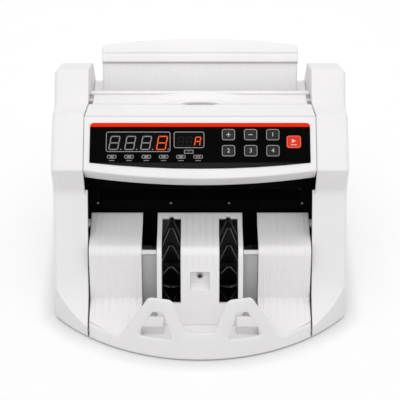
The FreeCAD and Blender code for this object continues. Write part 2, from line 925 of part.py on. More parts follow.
def hopper_cover():
    front = "ledge_rear_y + fit_gap"
    plate = prism(
        "cover_plate", "YZ_Plane", "-cover_half_width", "2 * cover_half_width",
        [
            (front, "cover_front_z - sheet"),
            ("cover_rear_y", "cover_rear_z - sheet"),
            ("cover_rear_y", "cover_rear_z"),
            (front, "cover_front_z"),
        ],
        rounds=[("sheet / 3", [2, 3])],
    )
    notch = rod("cover_notch", "Z", "notch_radius", "cover_rear_z - 3 * sheet", "cover_rear_z + 3 * sheet",
                ("0", f"{front} + notch_depth - notch_radius"))
    knuckles = [
        block(f"cover_knuckle_{side}", (low, high),
              ("cover_pivot_y - knuckle_half", "cover_pivot_y + knuckle_half"),
              ("cover_pivot_z - knuckle_half", "cover_rear_z - sheet / 2"))
        for side, low, high in (
            ("right", "cover_half_width - knuckle_length", "cover_half_width"),
            ("left", "-cover_half_width", "knuckle_length - cover_half_width"),
        )
    ]
    pins = [
        rod(f"cover_pin_{side}", "X", "cover_pin_radius", low, high, ("cover_pivot_y", "cover_pivot_z"))
        for side, low, high in (
            ("right", "cover_half_width - overcut", "cheek_inner + wall - fit_gap"),
            ("left", "fit_gap - wall - cheek_inner", "overcut - cover_half_width"),
        )
    ]
    return join("hopper_cover", cut("cover_notched", plate, notch), *knuckles, *pins)


node(hopper_cover(), "hopper_cover")
guide_bar = rod("guide_bar", "X", "bar_radius", "fit_gap - cheek_inner", "cheek_inner - fit_gap",
                ("bar_y", "bar_z"))
node(guide_bar, "hopper_bar")


def hopper_flap():
    radius = "(flap_half_width^2 + flap_bow^2) / (2 * flap_bow)"
    top = "flap_corner_height + flap_bow"
    outline = prism(
        "flap_outline", "XY_Plane", "0", "lip_thickness",
        [
            ("flap_draft - flap_half_width", "-flap_foot"),
            ("flap_half_width - flap_draft", "-flap_foot"),
            ("flap_half_width", top),
            ("-flap_half_width", top),
        ],
    )
    arch = rod("flap_arch", "Z", radius, "0", "lip_thickness", ("0", f"{top} - ({radius})"))
    crowned = common("flap_crowned", outline, arch)
    rounded = soften("flap_rounded", crowned, "flap_corner_radius",
                     lambda edge: edge.BoundBox.ZLength > NEAR and edge.BoundBox.YMin > size("lip_start"))
    thin = block("flap_thinning", ("-body_width / 2", "body_width / 2"), ("-2 * flap_foot", "lip_start"),
                 ("wall", "2 * lip_thickness"))
    groove = rod("flap_groove", "X", "groove_radius", "-body_width / 2", "body_width / 2",
                 ("(lip_start + flap_corner_height) / 2", "lip_thickness + groove_radius - groove_depth"))
    plate = cut("flap_plate", rounded, thin, groove)
    pins = [
        rod(f"flap_pin_{side}", "X", "flap_pin_radius", low, high, ("0", "0"))
        for side, low, high in (
            ("right", "flap_half_width - flap_pin_root", "cheek_inner + wall - fit_gap"),
            ("left", "fit_gap - wall - cheek_inner", "flap_pin_root - flap_half_width"),
        )
    ]
    return join("flap_joined", plate, *pins)


node(on_flap(hopper_flap()), "hopper_flap")


def hopper_floor():
    reach = "cheek_inner - fit_gap"
    slope = prism(
        "hopper_slope", "YZ_Plane", f"-({reach})", f"2 * ({reach})",
        [
            ("hopper_floor_front_y", "hopper_floor_front_z - sheet"),
            ("hopper_floor_rear_y", "hopper_floor_rear_z - sheet"),
            ("hopper_floor_rear_y", "hopper_floor_rear_z"),
            ("hopper_floor_front_y", "hopper_floor_front_z"),
        ],
    )
    slots = [
        block(f"hopper_slot_{side}",
              (f"{x} - roller_width / 2 - overcut", f"{x} + roller_width / 2 + overcut"),
              ("pickup_y - pickup_radius - overcut", "hopper_floor_rear_y + overcut"),
              ("hopper_floor_front_z - 2 * sheet", "hopper_floor_rear_z + overcut"))
        for side, x in (("right", "roller_x"), ("left", "-roller_x"))
    ]
    return cut("hopper_floor", slope, *slots)


node(hopper_floor(), "hopper_floor")


# Stacker: three ribbed plates, two finger channels, the sensor and the exit guide

def fold(name, low, high, corners, rounds):
    """A bent sheet between two places on X, from its side outline."""
    return prism(name, "YZ_Plane", low, f"({high}) - ({low})", corners, rounds=rounds)


def shelf_corners():
    """Upper face of a stacker plate, from the shelf's back edge to the wall behind the notes."""
    return [
        ("shelf_rear_y", "shelf_rear_z"),
        ("shelf_mid_y", "shelf_mid_z"),
        ("nose_y", "nose_z"),
    ]


def fence_room():
    """The ring that the leaning fence takes up, with its clearance."""
    rise = "hump_height - skirt_height"
    middle = "front_radius - body_depth / 2"
    outer = fence_cone("room_outer", "front_radius + overcut", rise, middle)
    inner = fence_cone("room_inner", "front_radius - fence_thickness - fit_gap", rise, middle)
    return cut("fence_room", outer, inner)


def side_plate():
    front = "-body_depth / 2"
    floor_front = f"wall_foot_z + ({front} - wall_foot_y) * floor_fall"
    corners = shelf_corners() + [
        ("wall_foot_y", "wall_foot_z"),
        (front, floor_front),
        (front, f"{floor_front} - sheet"),
        ("wall_foot_y + sheet", "wall_foot_z - sheet"),
        ("nose_y + sheet", "nose_z - 1.4 * sheet"),
        ("shelf_mid_y", "shelf_mid_z - sheet"),
        ("shelf_rear_y", "shelf_rear_z - sheet"),
    ]
    full = fold("side_fold", "side_plate_inner", "plate_edge", corners,
                [("nose_radius", [2]), ("floor_crease", [3]), ("shelf_crease", [1])])
    inside = plan("side_plan", "fence_thickness + fit_gap", FLOOR_TOP, HIGH)
    sheet_part = cut("side_sheet", common("side_trim", full, inside), fence_room())
    step = prism(
        "side_step", "YZ_Plane", "floor_inner", "side_plate_inner - floor_inner + overcut",
        [
            ("floor_inner_rear", "wall_foot_z + (floor_inner_rear - wall_foot_y) * floor_fall"),
            ("floor_inner_front", "wall_foot_z + (floor_inner_front - wall_foot_y) * floor_fall"),
            ("floor_inner_front", FLOOR_TOP),
            ("floor_inner_rear", FLOOR_TOP),
        ],
    )
    bar = block("side_cross_bar", ("centre_half_width + fit_gap", "side_plate_inner + overcut"),
                ("nose_y + sheet / 2", "cross_bar_rear"), ("cross_bar_low", "nose_z - 1.4 * sheet"))
    web = prism(
        "side_web", "YZ_Plane", "side_plate_inner", "sheet",
        [
            ("nose_y + sheet / 2", "nose_z - 2 * sheet"),
            ("wall_foot_y + sheet / 2", "wall_foot_z - sheet / 2"),
            ("wall_foot_y + sheet / 2", FLOOR_TOP),
            ("channel_plate_y + 2 * sheet", FLOOR_TOP),
            ("channel_plate_y + 2 * sheet", "nose_z - 2 * sheet"),
        ],
    )
    lug = block("side_lug", ("plate_edge - overcut", "frame_inner - fit_gap"),
                ("shelf_rear_y - lug_setback - lug_length", "shelf_rear_y - lug_setback"),
                ("shelf_mid_z - sheet", "shelf_mid_z + overcut"))
    return join("side_plate", sheet_part, step, bar, web, lug)


right_plate = node(side_plate(), "stacker_plate_right")
node(mirrored("stacker_plate_left", right_plate), "stacker_plate_left")


def centre_plate():
    corners = shelf_corners() + [
        ("ramp_foot_y", FLOOR_TOP),
        ("ramp_foot_y + 1.2 * sheet", FLOOR_TOP),
        ("nose_y + 1.2 * sheet", "nose_z - 1.4 * sheet"),
        ("shelf_mid_y", "shelf_mid_z - sheet"),
        ("shelf_rear_y", "shelf_rear_z - sheet"),
    ]
    plate = fold("centre_fold", "-centre_half_width", "centre_half_width", corners,
                 [("nose_radius", [2]), ("shelf_crease", [1])])
    slots = []
    for side, low, high in (("right", "slot_inner", "slot_outer"), ("left", "-slot_outer", "-slot_inner")):
        slots.append(block(f"centre_slot_{side}", (low, high), ("-body_depth / 2", "slot_rear"),
                           ("slot_foot", HIGH)))
        slots.append(rod(f"centre_notch_{side}", "Z", "slot_notch_radius", "slot_foot", HIGH,
                         (f"({low} + {high}) / 2", "slot_rear")))
    cup = block("centre_cup", ("-recess_half_width - sheet", "recess_half_width + sheet"),
                ("ramp_foot_y", "recess_rear + sheet"), ("recess_low - sheet", "recess_high + sheet"))
    front = prism(
        "centre_cup_front", "YZ_Plane", "-body_width / 2", "body_width",
        [
            ("ramp_foot_y", FLOOR_TOP),
            ("nose_y", "nose_z"),
            ("0", "nose_z"),
            ("0", FLOOR_TOP),
        ],
    )
    recess = prism(
        "centre_recess", "YZ_Plane", "-recess_half_width", "2 * recess_half_width",
        [
            ("-body_depth / 2", "recess_low - recess_fall"),
            ("recess_rear", "recess_low + recess_rise"),
            ("recess_rear", "recess_high"),
            ("-body_depth / 2", "recess_high"),
        ],
    )
    eye = rod("centre_eye", "Y", "sensor_radius + running_gap", "recess_rear - overcut",
              "recess_rear + 2 * sheet", ("0", "sensor_z"))
    whole = join("centre_whole", plate, common("centre_cup_cut", cup, front))
    return cut("centre_plate", whole, recess, eye, *slots)


node(centre_plate(), "stacker_plate_centre")

channel_plates = [
    block(f"channel_plate_{side}", (low, high), ("channel_plate_y", "channel_plate_y + sheet"),
          (FLOOR_TOP, "channel_plate_top"))
    for side, low, high in (
        ("right", "centre_half_width + fit_gap", "side_plate_inner - fit_gap"),
        ("left", "fit_gap - side_plate_inner", "-centre_half_width - fit_gap"),
    )
]
node(gather("channel_plates", *channel_plates), "channel_plates")

sensor_body = rod("sensor_barrel", "Y", "sensor_radius", "recess_rear - sensor_lip",
                  "recess_rear + sensor_length", ("0", "sensor_z"))
sensor_rim = rod("sensor_rim", "Y", "sensor_radius + sensor_rim", "recess_rear - sensor_lip",
                 "recess_rear - running_gap", ("0", "sensor_z"))
sensor_bore = rod("sensor_bore", "Y", "sensor_radius - sensor_wall", "recess_rear - sensor_lip - overcut",
                  "recess_rear + overcut", ("0", "sensor_z"))
node(cut("sensor", join("sensor_solid", sensor_body, sensor_rim), sensor_bore), "stacker_sensor")



def exit_guide():
    """The sheet behind the shelf, slit for the notes and notched for the wheels."""
    plate = block("guide_sheet", ("fit_gap - frame_inner", "frame_inner - fit_gap"),
                  ("guide_y", "guide_y + sheet"), ("guide_low", "guide_top"))
    through = ("guide_y - overcut", "guide_y + sheet + overcut")
    slit = block("guide_slit", ("-exit_half_width", "exit_half_width"), through, ("exit_low", "exit_high"))
    notches = [
        block(f"guide_notch_{side}", across, through, ("guide_low - overcut", "guide_notch_top"))
        for side, across in (("right", ("slot_inner", "slot_outer")), ("left", ("-slot_outer", "-slot_inner")))
    ]
    lip = prism(
        "guide_lip", "YZ_Plane", "-exit_half_width", "2 * exit_half_width",
        [
            ("guide_y + sheet / 2", "exit_low - sheet"),
            ("guide_y + sheet / 2", "exit_low"),
            ("guide_lip_y", "guide_lip_z"),
            ("guide_lip_y", "guide_lip_z - sheet / 2"),
        ],
    )
    return join("exit_guide", cut("guide_plate", plate, slit, *notches), lip)


node(exit_guide(), "exit_guide")


# Steel side frames, rods between them and the bushes that carry the shafts

SHAFTS = {
    "impeller": ("impeller_y", "impeller_z", "shaft_radius"),
    "feed": ("feed_y", "feed_z", "shaft_radius"),
    "pickup": ("pickup_y", "pickup_z", "thin_shaft_radius"),
    "transport": ("transport_y", "transport_z", "thin_shaft_radius"),
    "pinch": ("pinch_y", "pinch_z", "thin_shaft_radius"),
    "retard": ("retard_y", "retard_z", "thin_shaft_radius"),
}
RODS = [(f"{place}_rod_y", f"{place}_rod_z") for place in ("front", "middle", "rear")]


def side_frame():
    holes = [(y, z, f"{radius} + bush_wall + running_gap") for y, z, radius in SHAFTS.values()]
    holes.append(("motor_y", "motor_z", "2 * motor_shaft_radius"))
    holes.append(("stacker_motor_y", "stacker_motor_z", "2 * motor_shaft_radius"))
    return prism(
        "frame", "YZ_Plane", "frame_inner", "frame_thickness",
        [
            ("rear_face - 2 * wall", FLOOR_TOP),
            ("rear_face - 2 * wall", "shoulder_height - 4 * wall"),
            ("crown_rear_y", "flap_pivot_z + 4 * wall"),
            ("inner_wall_front", "flap_pivot_z + 4 * wall"),
            ("frame_brow_y", "frame_brow_z"),
            ("frame_chest_y", "frame_chest_z"),
            ("frame_neck_y", "frame_neck_z"),
            ("frame_toe_y", "frame_toe_z"),
            ("frame_foot_y", FLOOR_TOP),
        ],
        holes=holes,
        rounds=[("frame_corner", [2, 3, 4])],
    )


right_frame = node(side_frame(), "frame_right")
node(mirrored("frame_left", right_frame), "frame_left")

rods = [
    rod(f"tie_{number}", "X", "rod_radius", "-frame_inner", "frame_inner", place)
    for number, place in enumerate(RODS)
]
node(gather("rods", *rods), "tie_rods")


def bush(name, radius, place, side):
    low = "frame_inner - bush_length / 4"
    high = "frame_inner + 3 * bush_length / 4"
    if side == "left":
        low, high = f"-({high})", f"-({low})"
    ring = rod(f"{name}_ring", "X", f"{radius} + bush_wall", low, high, place)
    bore = rod(f"{name}_bore", "X", f"{radius} + running_gap",
               f"{low} - overcut", f"{high} + overcut", place)
    return cut(name, ring, bore)


bushes = [
    bush(f"bush_{shaft}_{side}", radius, (y, z), side)
    for shaft, (y, z, radius) in SHAFTS.items()
    for side in ("left", "right")
]
node(gather("bushes", *bushes), "shaft_bushes")


# Shafts, rollers, pulleys and belts

def shaft(name, left, right):
    y, z, radius = SHAFTS[name]
    return rod(f"{name}_bar", "X", radius, left, right, (y, z))


def rollers(name, radius, places):
    """Plain rollers on one shaft, with their bores."""
    y, z, bore = SHAFTS[name]
    made = []
    for number, x in enumerate(places):
        low = f"{x} - roller_width / 2"
        high = f"{x} + roller_width / 2"
        tyre = rod(f"{name}_tyre_{number}", "X", radius, low, high, (y, z))
        hole = rod(f"{name}_tyre_bore_{number}", "X", f"{bore} + running_gap",
                   f"{low} - overcut", f"{high} + overcut", (y, z))
        made.append(cut(f"{name}_roller_{number}", tyre, hole))
    return made


def pulley(name, track, side, radius, bore, place):
    """A flanged belt wheel on one of the two belt tracks beside a frame."""
    low = f"{track} - pulley_flange"
    inner = track
    outer = f"{track} + belt_width"
    high = f"{track} + belt_width + pulley_flange"
    places = [low, inner, outer, high]
    if side == "left":
        places = [f"-({place_x})" for place_x in reversed(places)]
    wheel = rod(f"{name}_wheel", "X", f"{radius} - fit_gap", places[1], places[2], place)
    rims = [
        rod(f"{name}_rim_{number}", "X", f"{radius} + 2 * belt_thickness", start, end, place)
        for number, (start, end) in enumerate([(places[0], places[1]), (places[2], places[3])])
    ]
    solid = join(f"{name}_solid", wheel, *rims)
    if bore is None:
        return solid
    hole = rod(f"{name}_hole", "X", f"{bore} + running_gap",
               f"{places[0]} - overcut", f"{places[3]} + overcut", place)
    return cut(f"{name}_bored", solid, hole)


def loop_belt(name, track, side, wheels):
    """A flat belt drawn tight round its wheels, each wheel as (y, z, radius) in the sheet's names."""
    outer = hull_prism(wheels, size("belt_thickness"))
    inner = hull_prism(wheels, 0)
    band = outer.cut(inner)
    start = size(track) if side == "right" else -size(track) - size("belt_width")
    belt = doc.addObject("Part::Feature", name)
    belt.Shape = band
    belt.Placement = FreeCAD.Placement(FreeCAD.Vector(start, 0, 0), FreeCAD.Rotation())
    return belt


def hull_prism(wheels, extra):
    """A block as wide as a belt over the tight loop round some circles."""
    circles = [(size(y), size(z), size(radius) + extra) for y, z, radius in wheels]
    width = FreeCAD.Vector(size("belt_width"), 0, 0)
    pieces = [disc_prism(circle, width) for circle in circles]
    for first in range(len(circles)):
        for second in range(first + 1, len(circles)):
            pieces.append(tangent_prism(circles[first], circles[second], width))
    middle = Part.makePolygon([FreeCAD.Vector(0, y, z) for y, z, radius in circles + circles[:1]])
    if len(circles) > 2:
        pieces.append(Part.Face(middle).extrude(width))
    return pieces[0].multiFuse(pieces[1:]).removeSplitter()


def disc_prism(circle, width):
    y, z, radius = circle
    return Part.makeCylinder(radius, width.x, FreeCAD.Vector(0, y, z), FreeCAD.Vector(1, 0, 0))


def tangent_prism(first, second, width):
    """The block between the two outer tangents of a pair of circles."""
    along = FreeCAD.Vector(0, second[0] - first[0], second[1] - first[1])
    distance = along.Length
    along.normalize()
    across = FreeCAD.Vector(0, -along.z, along.y)
    lean = (first[2] - second[2]) / distance
    rise = math.sqrt(1 - lean * lean)
    corners = []
    for (y, z, radius), order in ((first, (1, -1)), (second, (-1, 1))):
        for sign in order:
            offset = (along * lean + across * (rise * sign)) * radius
            corners.append(FreeCAD.Vector(0, y, z) + offset)
    return Part.Face(Part.makePolygon(corners + corners[:1])).extrude(width)


OUTER_END = "outer_track + belt_width + 2 * pulley_flange"
INNER_END = "inner_track + belt_width + 2 * pulley_flange"

node(shaft("impeller", "-shaft_reach", INNER_END), "impeller_shaft")
node(shaft("feed", f"-({OUTER_END})", "shaft_reach"), "feed_shaft")
node(shaft("pinch", "-shaft_reach", "shaft_reach"), "pinch_shaft")

INNER_PAIR = ("-roller_x", "roller_x")
FOUR = ("-outer_roller_x", "-roller_x", "roller_x", "outer_roller_x")
node(gather("feed_rollers", *rollers("feed", "feed_radius", INNER_PAIR)), "feed_rollers")
node(gather("pickup_rollers", *rollers("pickup", "pickup_radius", INNER_PAIR)), "pickup_rollers")
node(gather("transport_rollers", *rollers("transport", "transport_radius", FOUR)), "transport_rollers")
node(gather("pinch_rollers", *rollers("pinch", "pinch_radius", FOUR)), "pinch_rollers")
retard_shaft = shaft("retard", "-shaft_reach", "shaft_reach")
retard_tyres = rollers("retard", "retard_radius", INNER_PAIR)
node(gather("retard_rollers", retard_shaft, *retard_tyres), "retard_rollers")


def impeller(name, x):
    """A hub with flat pointed vanes set off its axis."""
    body = doc.addObject("PartDesign::Body", name)
    hub_sketch = body.newObject("Sketcher::SketchObject", name + "_hub_outline")
    hub_sketch.AttachmentSupport = [(origin_plane(body, "YZ_Plane"), "")]
    hub_sketch.MapMode = "FlatFace"
    bind(hub_sketch, "AttachmentOffset.Base.z", "-impeller_width / 2")
    draw_circle(hub_sketch, "0", "0", "impeller_hub")
    draw_circle(hub_sketch, "0", "0", "shaft_radius + running_gap")
    hub = body.newObject("PartDesign::Pad", name + "_hub")
    hub.Profile = hub_sketch
    bind(hub, "Length", "impeller_width")
    vane_sketch = body.newObject("Sketcher::SketchObject", name + "_vane_outline")
    vane_sketch.AttachmentSupport = [(origin_plane(body, "XZ_Plane"), "")]
    vane_sketch.MapMode = "FlatFace"
    bind(vane_sketch, "AttachmentOffset.Base.z", "vane_offset - vane_thickness")
    tip = "sqrt(impeller_radius^2 - vane_offset^2)"
    draw_polygon(vane_sketch, [
        ("-impeller_width / 2", "vane_thickness"),
        ("impeller_width / 2", "vane_thickness"),
        ("impeller_width / 2", f"{tip} - vane_point"),
        ("impeller_width / 10", tip),
        ("-impeller_width / 10", tip),
        ("-impeller_width / 2", f"{tip} - vane_point"),
    ])
    vane = body.newObject("PartDesign::Pad", name + "_vane")
    vane.Profile = vane_sketch
    bind(vane, "Length", "vane_thickness")
    doc.recompute()
    ring = body.newObject("PartDesign::PolarPattern", name + "_vanes")
    ring.Originals = [vane]
    ring.Axis = (origin_plane(body, "X_Axis"), [""])
    ring.Angle = 360
    bind(ring, "Occurrences", "vane_count")
    body.Tip = ring
    for axis, place in (("x", x), ("y", "impeller_y"), ("z", "impeller_z")):
        bind(body, f"Placement.Base.{axis}", place)
    return body


node(impeller("impeller_right", "impeller_x"), "impeller_right")
node(impeller("impeller_left", "-impeller_x"), "impeller_left")

FEED = ("feed_y", "feed_z")
node(pulley("impeller_pulley", "inner_track", "right", "impeller_pulley_radius", "shaft_radius",
            ("impeller_y", "impeller_z")), "impeller_pulley")
feed_wheels = [
    pulley("feed_wheel_inner", "inner_track", "left", "feed_pulley_radius", "shaft_radius", FEED),
    pulley("feed_wheel_outer", "outer_track", "left", "timing_pulley_radius", "shaft_radius", FEED),
]
node(gather("feed_wheels", *feed_wheels), "feed_pulleys")
for name in ("pickup", "transport"):
    bar = shaft(name, f"-({OUTER_END})", "shaft_reach")
    wheel = pulley(f"{name}_pulley", "outer_track", "left", "timing_pulley_radius", None, SHAFTS[name][:2])
    node(join(f"{name}_drive", bar, wheel), f"{name}_shaft")


def motor(name, side, place, radius, length):
    """A plain can with a shaft bore, standing against its frame."""
    inner = "frame_inner - running_gap"
    ends = (f"{inner} - {length}", inner)
    bore_ends = (f"{inner} - {length} / 2", "frame_inner + overcut")
    if side == "left":
        ends = (f"-({ends[1]})", f"-({ends[0]})")
        bore_ends = (f"-({bore_ends[1]})", f"-({bore_ends[0]})")
    can = rod(f"{name}_can", "X", radius, *ends, place)
    bore = rod(f"{name}_bore", "X", "motor_shaft_radius + running_gap", *bore_ends, place)
    return cut(name, can, bore)


def motor_pulley(name, side, place, radius, length):
    """A pulley made with its motor shaft."""
    inner = f"frame_inner - {length} / 2 + overcut"
    ends = (inner, INNER_END)
    if side == "left":
        ends = (f"-({INNER_END})", f"-({inner})")
    spindle = rod(f"{name}_spindle", "X", "motor_shaft_radius", *ends, place)
    return join(name, spindle, pulley(f"{name}_belt_wheel", "inner_track", side, radius, None, place))


MOTOR = ("motor_y", "motor_z")
STACKER_MOTOR = ("stacker_motor_y", "stacker_motor_z")
node(motor("main_motor", "left", MOTOR, "motor_radius", "motor_length"), "main_motor")
node(motor_pulley("main_motor_pulley", "left", MOTOR, "drive_pulley_radius", "motor_length"),
     "main_motor_pulley")
node(motor("stacker_motor", "right", STACKER_MOTOR, "stacker_motor_radius", "stacker_motor_length"),
     "stacker_motor")
node(motor_pulley("stacker_motor_pulley", "right", STACKER_MOTOR, "stacker_drive_radius",
                  "stacker_motor_length"), "stacker_motor_pulley")

node(loop_belt("drive_belt", "inner_track", "left", [
    ("motor_y", "motor_z", "drive_pulley_radius"),
    ("feed_y", "feed_z", "feed_pulley_radius"),
]), "drive_belt")
node(loop_belt("timing_belt", "outer_track", "left", [
    ("transport_y", "transport_z", "timing_pulley_radius"),
    ("feed_y", "feed_z", "timing_pulley_radius"),
    ("pickup_y", "pickup_z", "timing_pulley_radius"),
]), "timing_belt")
node(loop_belt("stacker_belt", "inner_track", "right", [
    ("stacker_motor_y", "stacker_motor_z", "stacker_drive_radius"),
    ("impeller_y", "impeller_z", "impeller_pulley_radius"),
]), "stacker_belt")


# Electrics and the rear cover

transformer_core = block(
    "transformer_core", ("-transformer_width / 2", "transformer_width / 2"),
    ("transformer_y", "transformer_y + transformer_depth"),
    (FLOOR_TOP, f"{FLOOR_TOP} + transformer_height"),
)
transformer_coil = block(
    "transformer_coil", ("core_margin - transformer_width / 2", "transformer_width / 2 - core_margin"),
    ("transformer_y - core_margin", "transformer_y + transformer_depth + core_margin"),
    (f"{FLOOR_TOP} + core_margin", f"{FLOOR_TOP} + transformer_height - core_margin"),
)
node(join("transformer", transformer_core, transformer_coil), "transformer")


def board_block(name, left, width, low, height, depth):
    """A boxy part on the inner face of the main board."""
    return block(name, (f"main_board_left + {left}", f"main_board_left + {left} + {width}"),
                 (f"main_board_y - {depth}", "main_board_y"),
                 (f"main_board_low + {low}", f"main_board_low + {low} + {height}"))


def main_board():
    right = "main_board_left + main_board_width"
    top = "main_board_low + main_board_height"
    board = block("main_sheet", ("main_board_left", right),
                  ("main_board_y", "main_board_y + board_thickness"), ("main_board_low", top))
    posts = [
        rod(f"main_post_{number}", "Y", "standoff_radius", "main_board_y", "rear_face - wall", (x, z))
        for number, (x, z) in enumerate([
            ("main_board_left + post_margin", "main_board_low + post_margin"),
            (f"{right} - post_margin", "main_board_low + post_margin"),
            ("main_board_left + post_margin", f"{top} - post_margin"),
            (f"{right} - post_margin", f"{top} - post_margin"),
        ])
    ]
    heat_sink = board_block("main_heat_sink", "heat_sink_left", "heat_sink_width",
                            "heat_sink_low", "heat_sink_height", "heat_sink_depth")
    chip = board_block("main_chip", "chip_left", "chip_side", "chip_low", "chip_side", "chip_thickness")
    capacitors = [
        rod(f"main_capacitor_{number}", "Y", "capacitor_radius",
            "main_board_y - capacitor_length", "main_board_y",
            (f"main_board_left + capacitor_first + {number} * capacitor_pitch",
             "main_board_low + capacitor_row"))
        for number in range(int(size("capacitor_count")))
    ]
    return join("main_board", board, heat_sink, chip, *posts, *capacitors)


node(main_board(), "main_board")


def rear_cover():
    inside = "rear_face - wall"
    reach = "cheek_inner - fit_gap"
    lip = "flap_pivot_y + flap_pin_radius + overcut"
    shell = prism(
        "rear_sheet", "YZ_Plane", f"-({reach})", f"2 * ({reach})",
        [
            ("rear_face", FLOOR_TOP),
            ("rear_face", "shoulder_height"),
            ("cover_crease_y", "cover_crease_z"),
            (lip, "flap_pivot_z"),
            (lip, "flap_pivot_z - wall"),
            ("cover_crease_y", "cover_crease_z - wall"),
            (inside, "shoulder_height - wall"),
            (inside, FLOOR_TOP),
        ],
        rounds=[("wall", [1])],
    )
    through = (f"{inside} - overcut", "rear_face + overcut")
    vents = [
        block(f"rear_vent_{number}",
              (f"vent_left + {number} * vent_pitch", f"vent_left + {number} * vent_pitch + vent_width"),
              through, ("vent_low", "vent_low + vent_height"))
        for number in range(int(size("vent_count")))
    ]
    inlet_hole = block(
        "rear_inlet_hole", ("inlet_x - inlet_width / 2", "inlet_x + inlet_width / 2"), through,
        ("inlet_z - inlet_height / 2", "inlet_z + inlet_height / 2"),
    )
    switch_hole = block(
        "rear_switch_hole",
        ("rocker_x - rocker_width / 2 - rocker_border", "rocker_x + rocker_width / 2 + rocker_border"),
        through,
        ("inlet_z - rocker_height / 2 - rocker_border", "inlet_z + rocker_height / 2 + rocker_border"),
    )
    knob_hole = rod("rear_knob_hole", "Y", "thin_shaft_radius + running_gap", *through,
                    ("knob_x", "knob_z"))
    screw_holes = [
        rod(f"rear_screw_hole_{number}", "Y", "screw_radius / 2 + running_gap", *through, place)
        for number, place in enumerate(SCREWS)
    ]
    return cut("rear_cover", shell, inlet_hole, switch_hole, knob_hole, *screw_holes, *vents)


SCREWS = [
    ("cheek_inner - screw_inset", "screw_margin"),
    ("screw_inset - cheek_inner", "screw_margin"),
    ("cheek_inner - screw_inset", "shoulder_height - screw_margin"),
    ("screw_inset - cheek_inner", "shoulder_height - screw_margin"),
]
node(rear_cover(), "rear_cover")

screws = []
for number, place in enumerate(SCREWS):
    stem = rod(f"screw_stem_{number}", "Y", "screw_radius / 2", "rear_face - 2 * wall",
               "rear_face + screw_head / 2", place)
    head = rod(f"screw_head_{number}", "Y", "screw_radius", "rear_face", "rear_face + screw_head", place)
    screws.append(join(f"screw_{number}", stem, head))
node(gather("screws", *screws), "case_screws")


def power_inlet():
    front = "rear_face + inlet_flange"
    half_width = "inlet_width / 2"
    half_height = "inlet_height / 2"
    core = around("inlet_core", "inlet_x", f"{half_width} - running_gap", f"{half_height} - running_gap",
                  "rear_face - inlet_depth", front)
    flange = around("inlet_rim", "inlet_x", f"{half_width} + inlet_border", f"{half_height} + inlet_border",
                    "rear_face", front)
    well = around("inlet_well", "inlet_x", f"{half_width} - inlet_wall", f"{half_height} - inlet_wall",
                  "rear_face - inlet_depth + inlet_floor", f"{front} + overcut")
    pins = [
        block(f"inlet_pin_{number}", (f"{x} - inlet_pin_half", f"{x} + inlet_pin_half"),
              ("rear_face - inlet_depth + inlet_wall", "rear_face - inlet_pin_recess"),
              (f"{z} - inlet_pin_height / 2", f"{z} + inlet_pin_height / 2"))
        for number, (x, z) in enumerate([
            ("inlet_x - inlet_width / 4", "inlet_z - inlet_pin_height / 2"),
            ("inlet_x", "inlet_z + inlet_pin_height / 2"),
            ("inlet_x + inlet_width / 4", "inlet_z - inlet_pin_height / 2"),
        ])
    ]
    return join("power_inlet", cut("inlet_shell", join("inlet_solid", core, flange), well), *pins)


def around(name, x, half_width, half_height, low, high):
    """A block centred on the row of the inlet and the switch, from low to high along Y."""
    return block(name, (f"{x} - ({half_width})", f"{x} + {half_width}"), (low, high),
                 (f"inlet_z - ({half_height})", f"inlet_z + {half_height}"))


node(power_inlet(), "power_inlet")


ROCKER_PIVOT = ("rear_face - rocker_pin_depth", "inlet_z")


def switch_body():
    front = "rear_face + switch_flange"
    half_width = "rocker_width / 2 + rocker_border"
    half_height = "rocker_height / 2 + rocker_border"
    core = around("switch_core", "rocker_x", f"{half_width} - running_gap", f"{half_height} - running_gap",
                  "rear_face - rocker_depth", front)
    flange = around("switch_rim", "rocker_x", f"{half_width} + rocker_border",
                    f"{half_height} + rocker_border", "rear_face", front)
    well = around("switch_well", "rocker_x", "rocker_width / 2", "rocker_height / 2",
                  "rear_face - rocker_depth + switch_floor", f"{front} + overcut")
    pin_hole = rocker_pin("switch_pin_hole", "running_gap")
    return cut("switch_body", join("switch_solid", core, flange), well, pin_hole)


def rocker_pin(name, extra):
    """The rocker's cross pin, or with an extra gap the holes for its ends."""
    reach = f"rocker_width / 2 + rocker_pin_reach + {extra}"
    return rod(name, "X", f"rocker_pin_radius + {extra}", f"rocker_x - ({reach})", f"rocker_x + {reach}",
               ROCKER_PIVOT)


node(switch_body(), "switch_body")


def switch_rocker():
    """A shallow vee-fronted rocker on a cross pin, free to tip both ways."""
    half = "rocker_height / 2 - rocker_clearance"
    paddle = prism(
        "rocker_paddle", "YZ_Plane", "rocker_x - rocker_width / 2 + fit_gap", "rocker_width - 2 * fit_gap",
        [
            ("rear_face - rocker_sink", f"inlet_z - ({half}) + rocker_draft"),
            ("rear_face + rocker_rise", f"inlet_z - ({half})"),
            ("rear_face + rocker_dip", "inlet_z"),
            ("rear_face + rocker_rise", f"inlet_z + {half}"),
            ("rear_face - rocker_sink", f"inlet_z + {half} - rocker_draft"),
        ],
    )
    return join("switch_rocker", paddle, rocker_pin("rocker_cross_pin", "0"))


node(switch_rocker(), "switch_rocker")

knob_shaft = rod("knob_shaft", "Y", "thin_shaft_radius", "rear_face - knob_shaft_length",
                 "rear_face + knob_seat", ("knob_x", "knob_z"))
knob_grip = rod("knob_grip", "Y", "knob_radius", "rear_face + fit_gap", "body_depth / 2",
                ("knob_x", "knob_z"))
node(join("knob", knob_shaft, knob_grip), "gap_knob")


# Check every object, then write one file for each sub-part

doc.recompute()
for thing in doc.Objects:
    if "Invalid" in thing.State or "Error" in thing.State:
        raise RuntimeError(f"{thing.Label} failed: {thing.State}")
for thing in nodes:
    if thing.Shape.isNull() or not thing.Shape.isValid():
        raise RuntimeError(f"{thing.Label} has no valid shape")
    if not thing.Shape.Solids:
        raise RuntimeError(f"{thing.Label} has no solid")

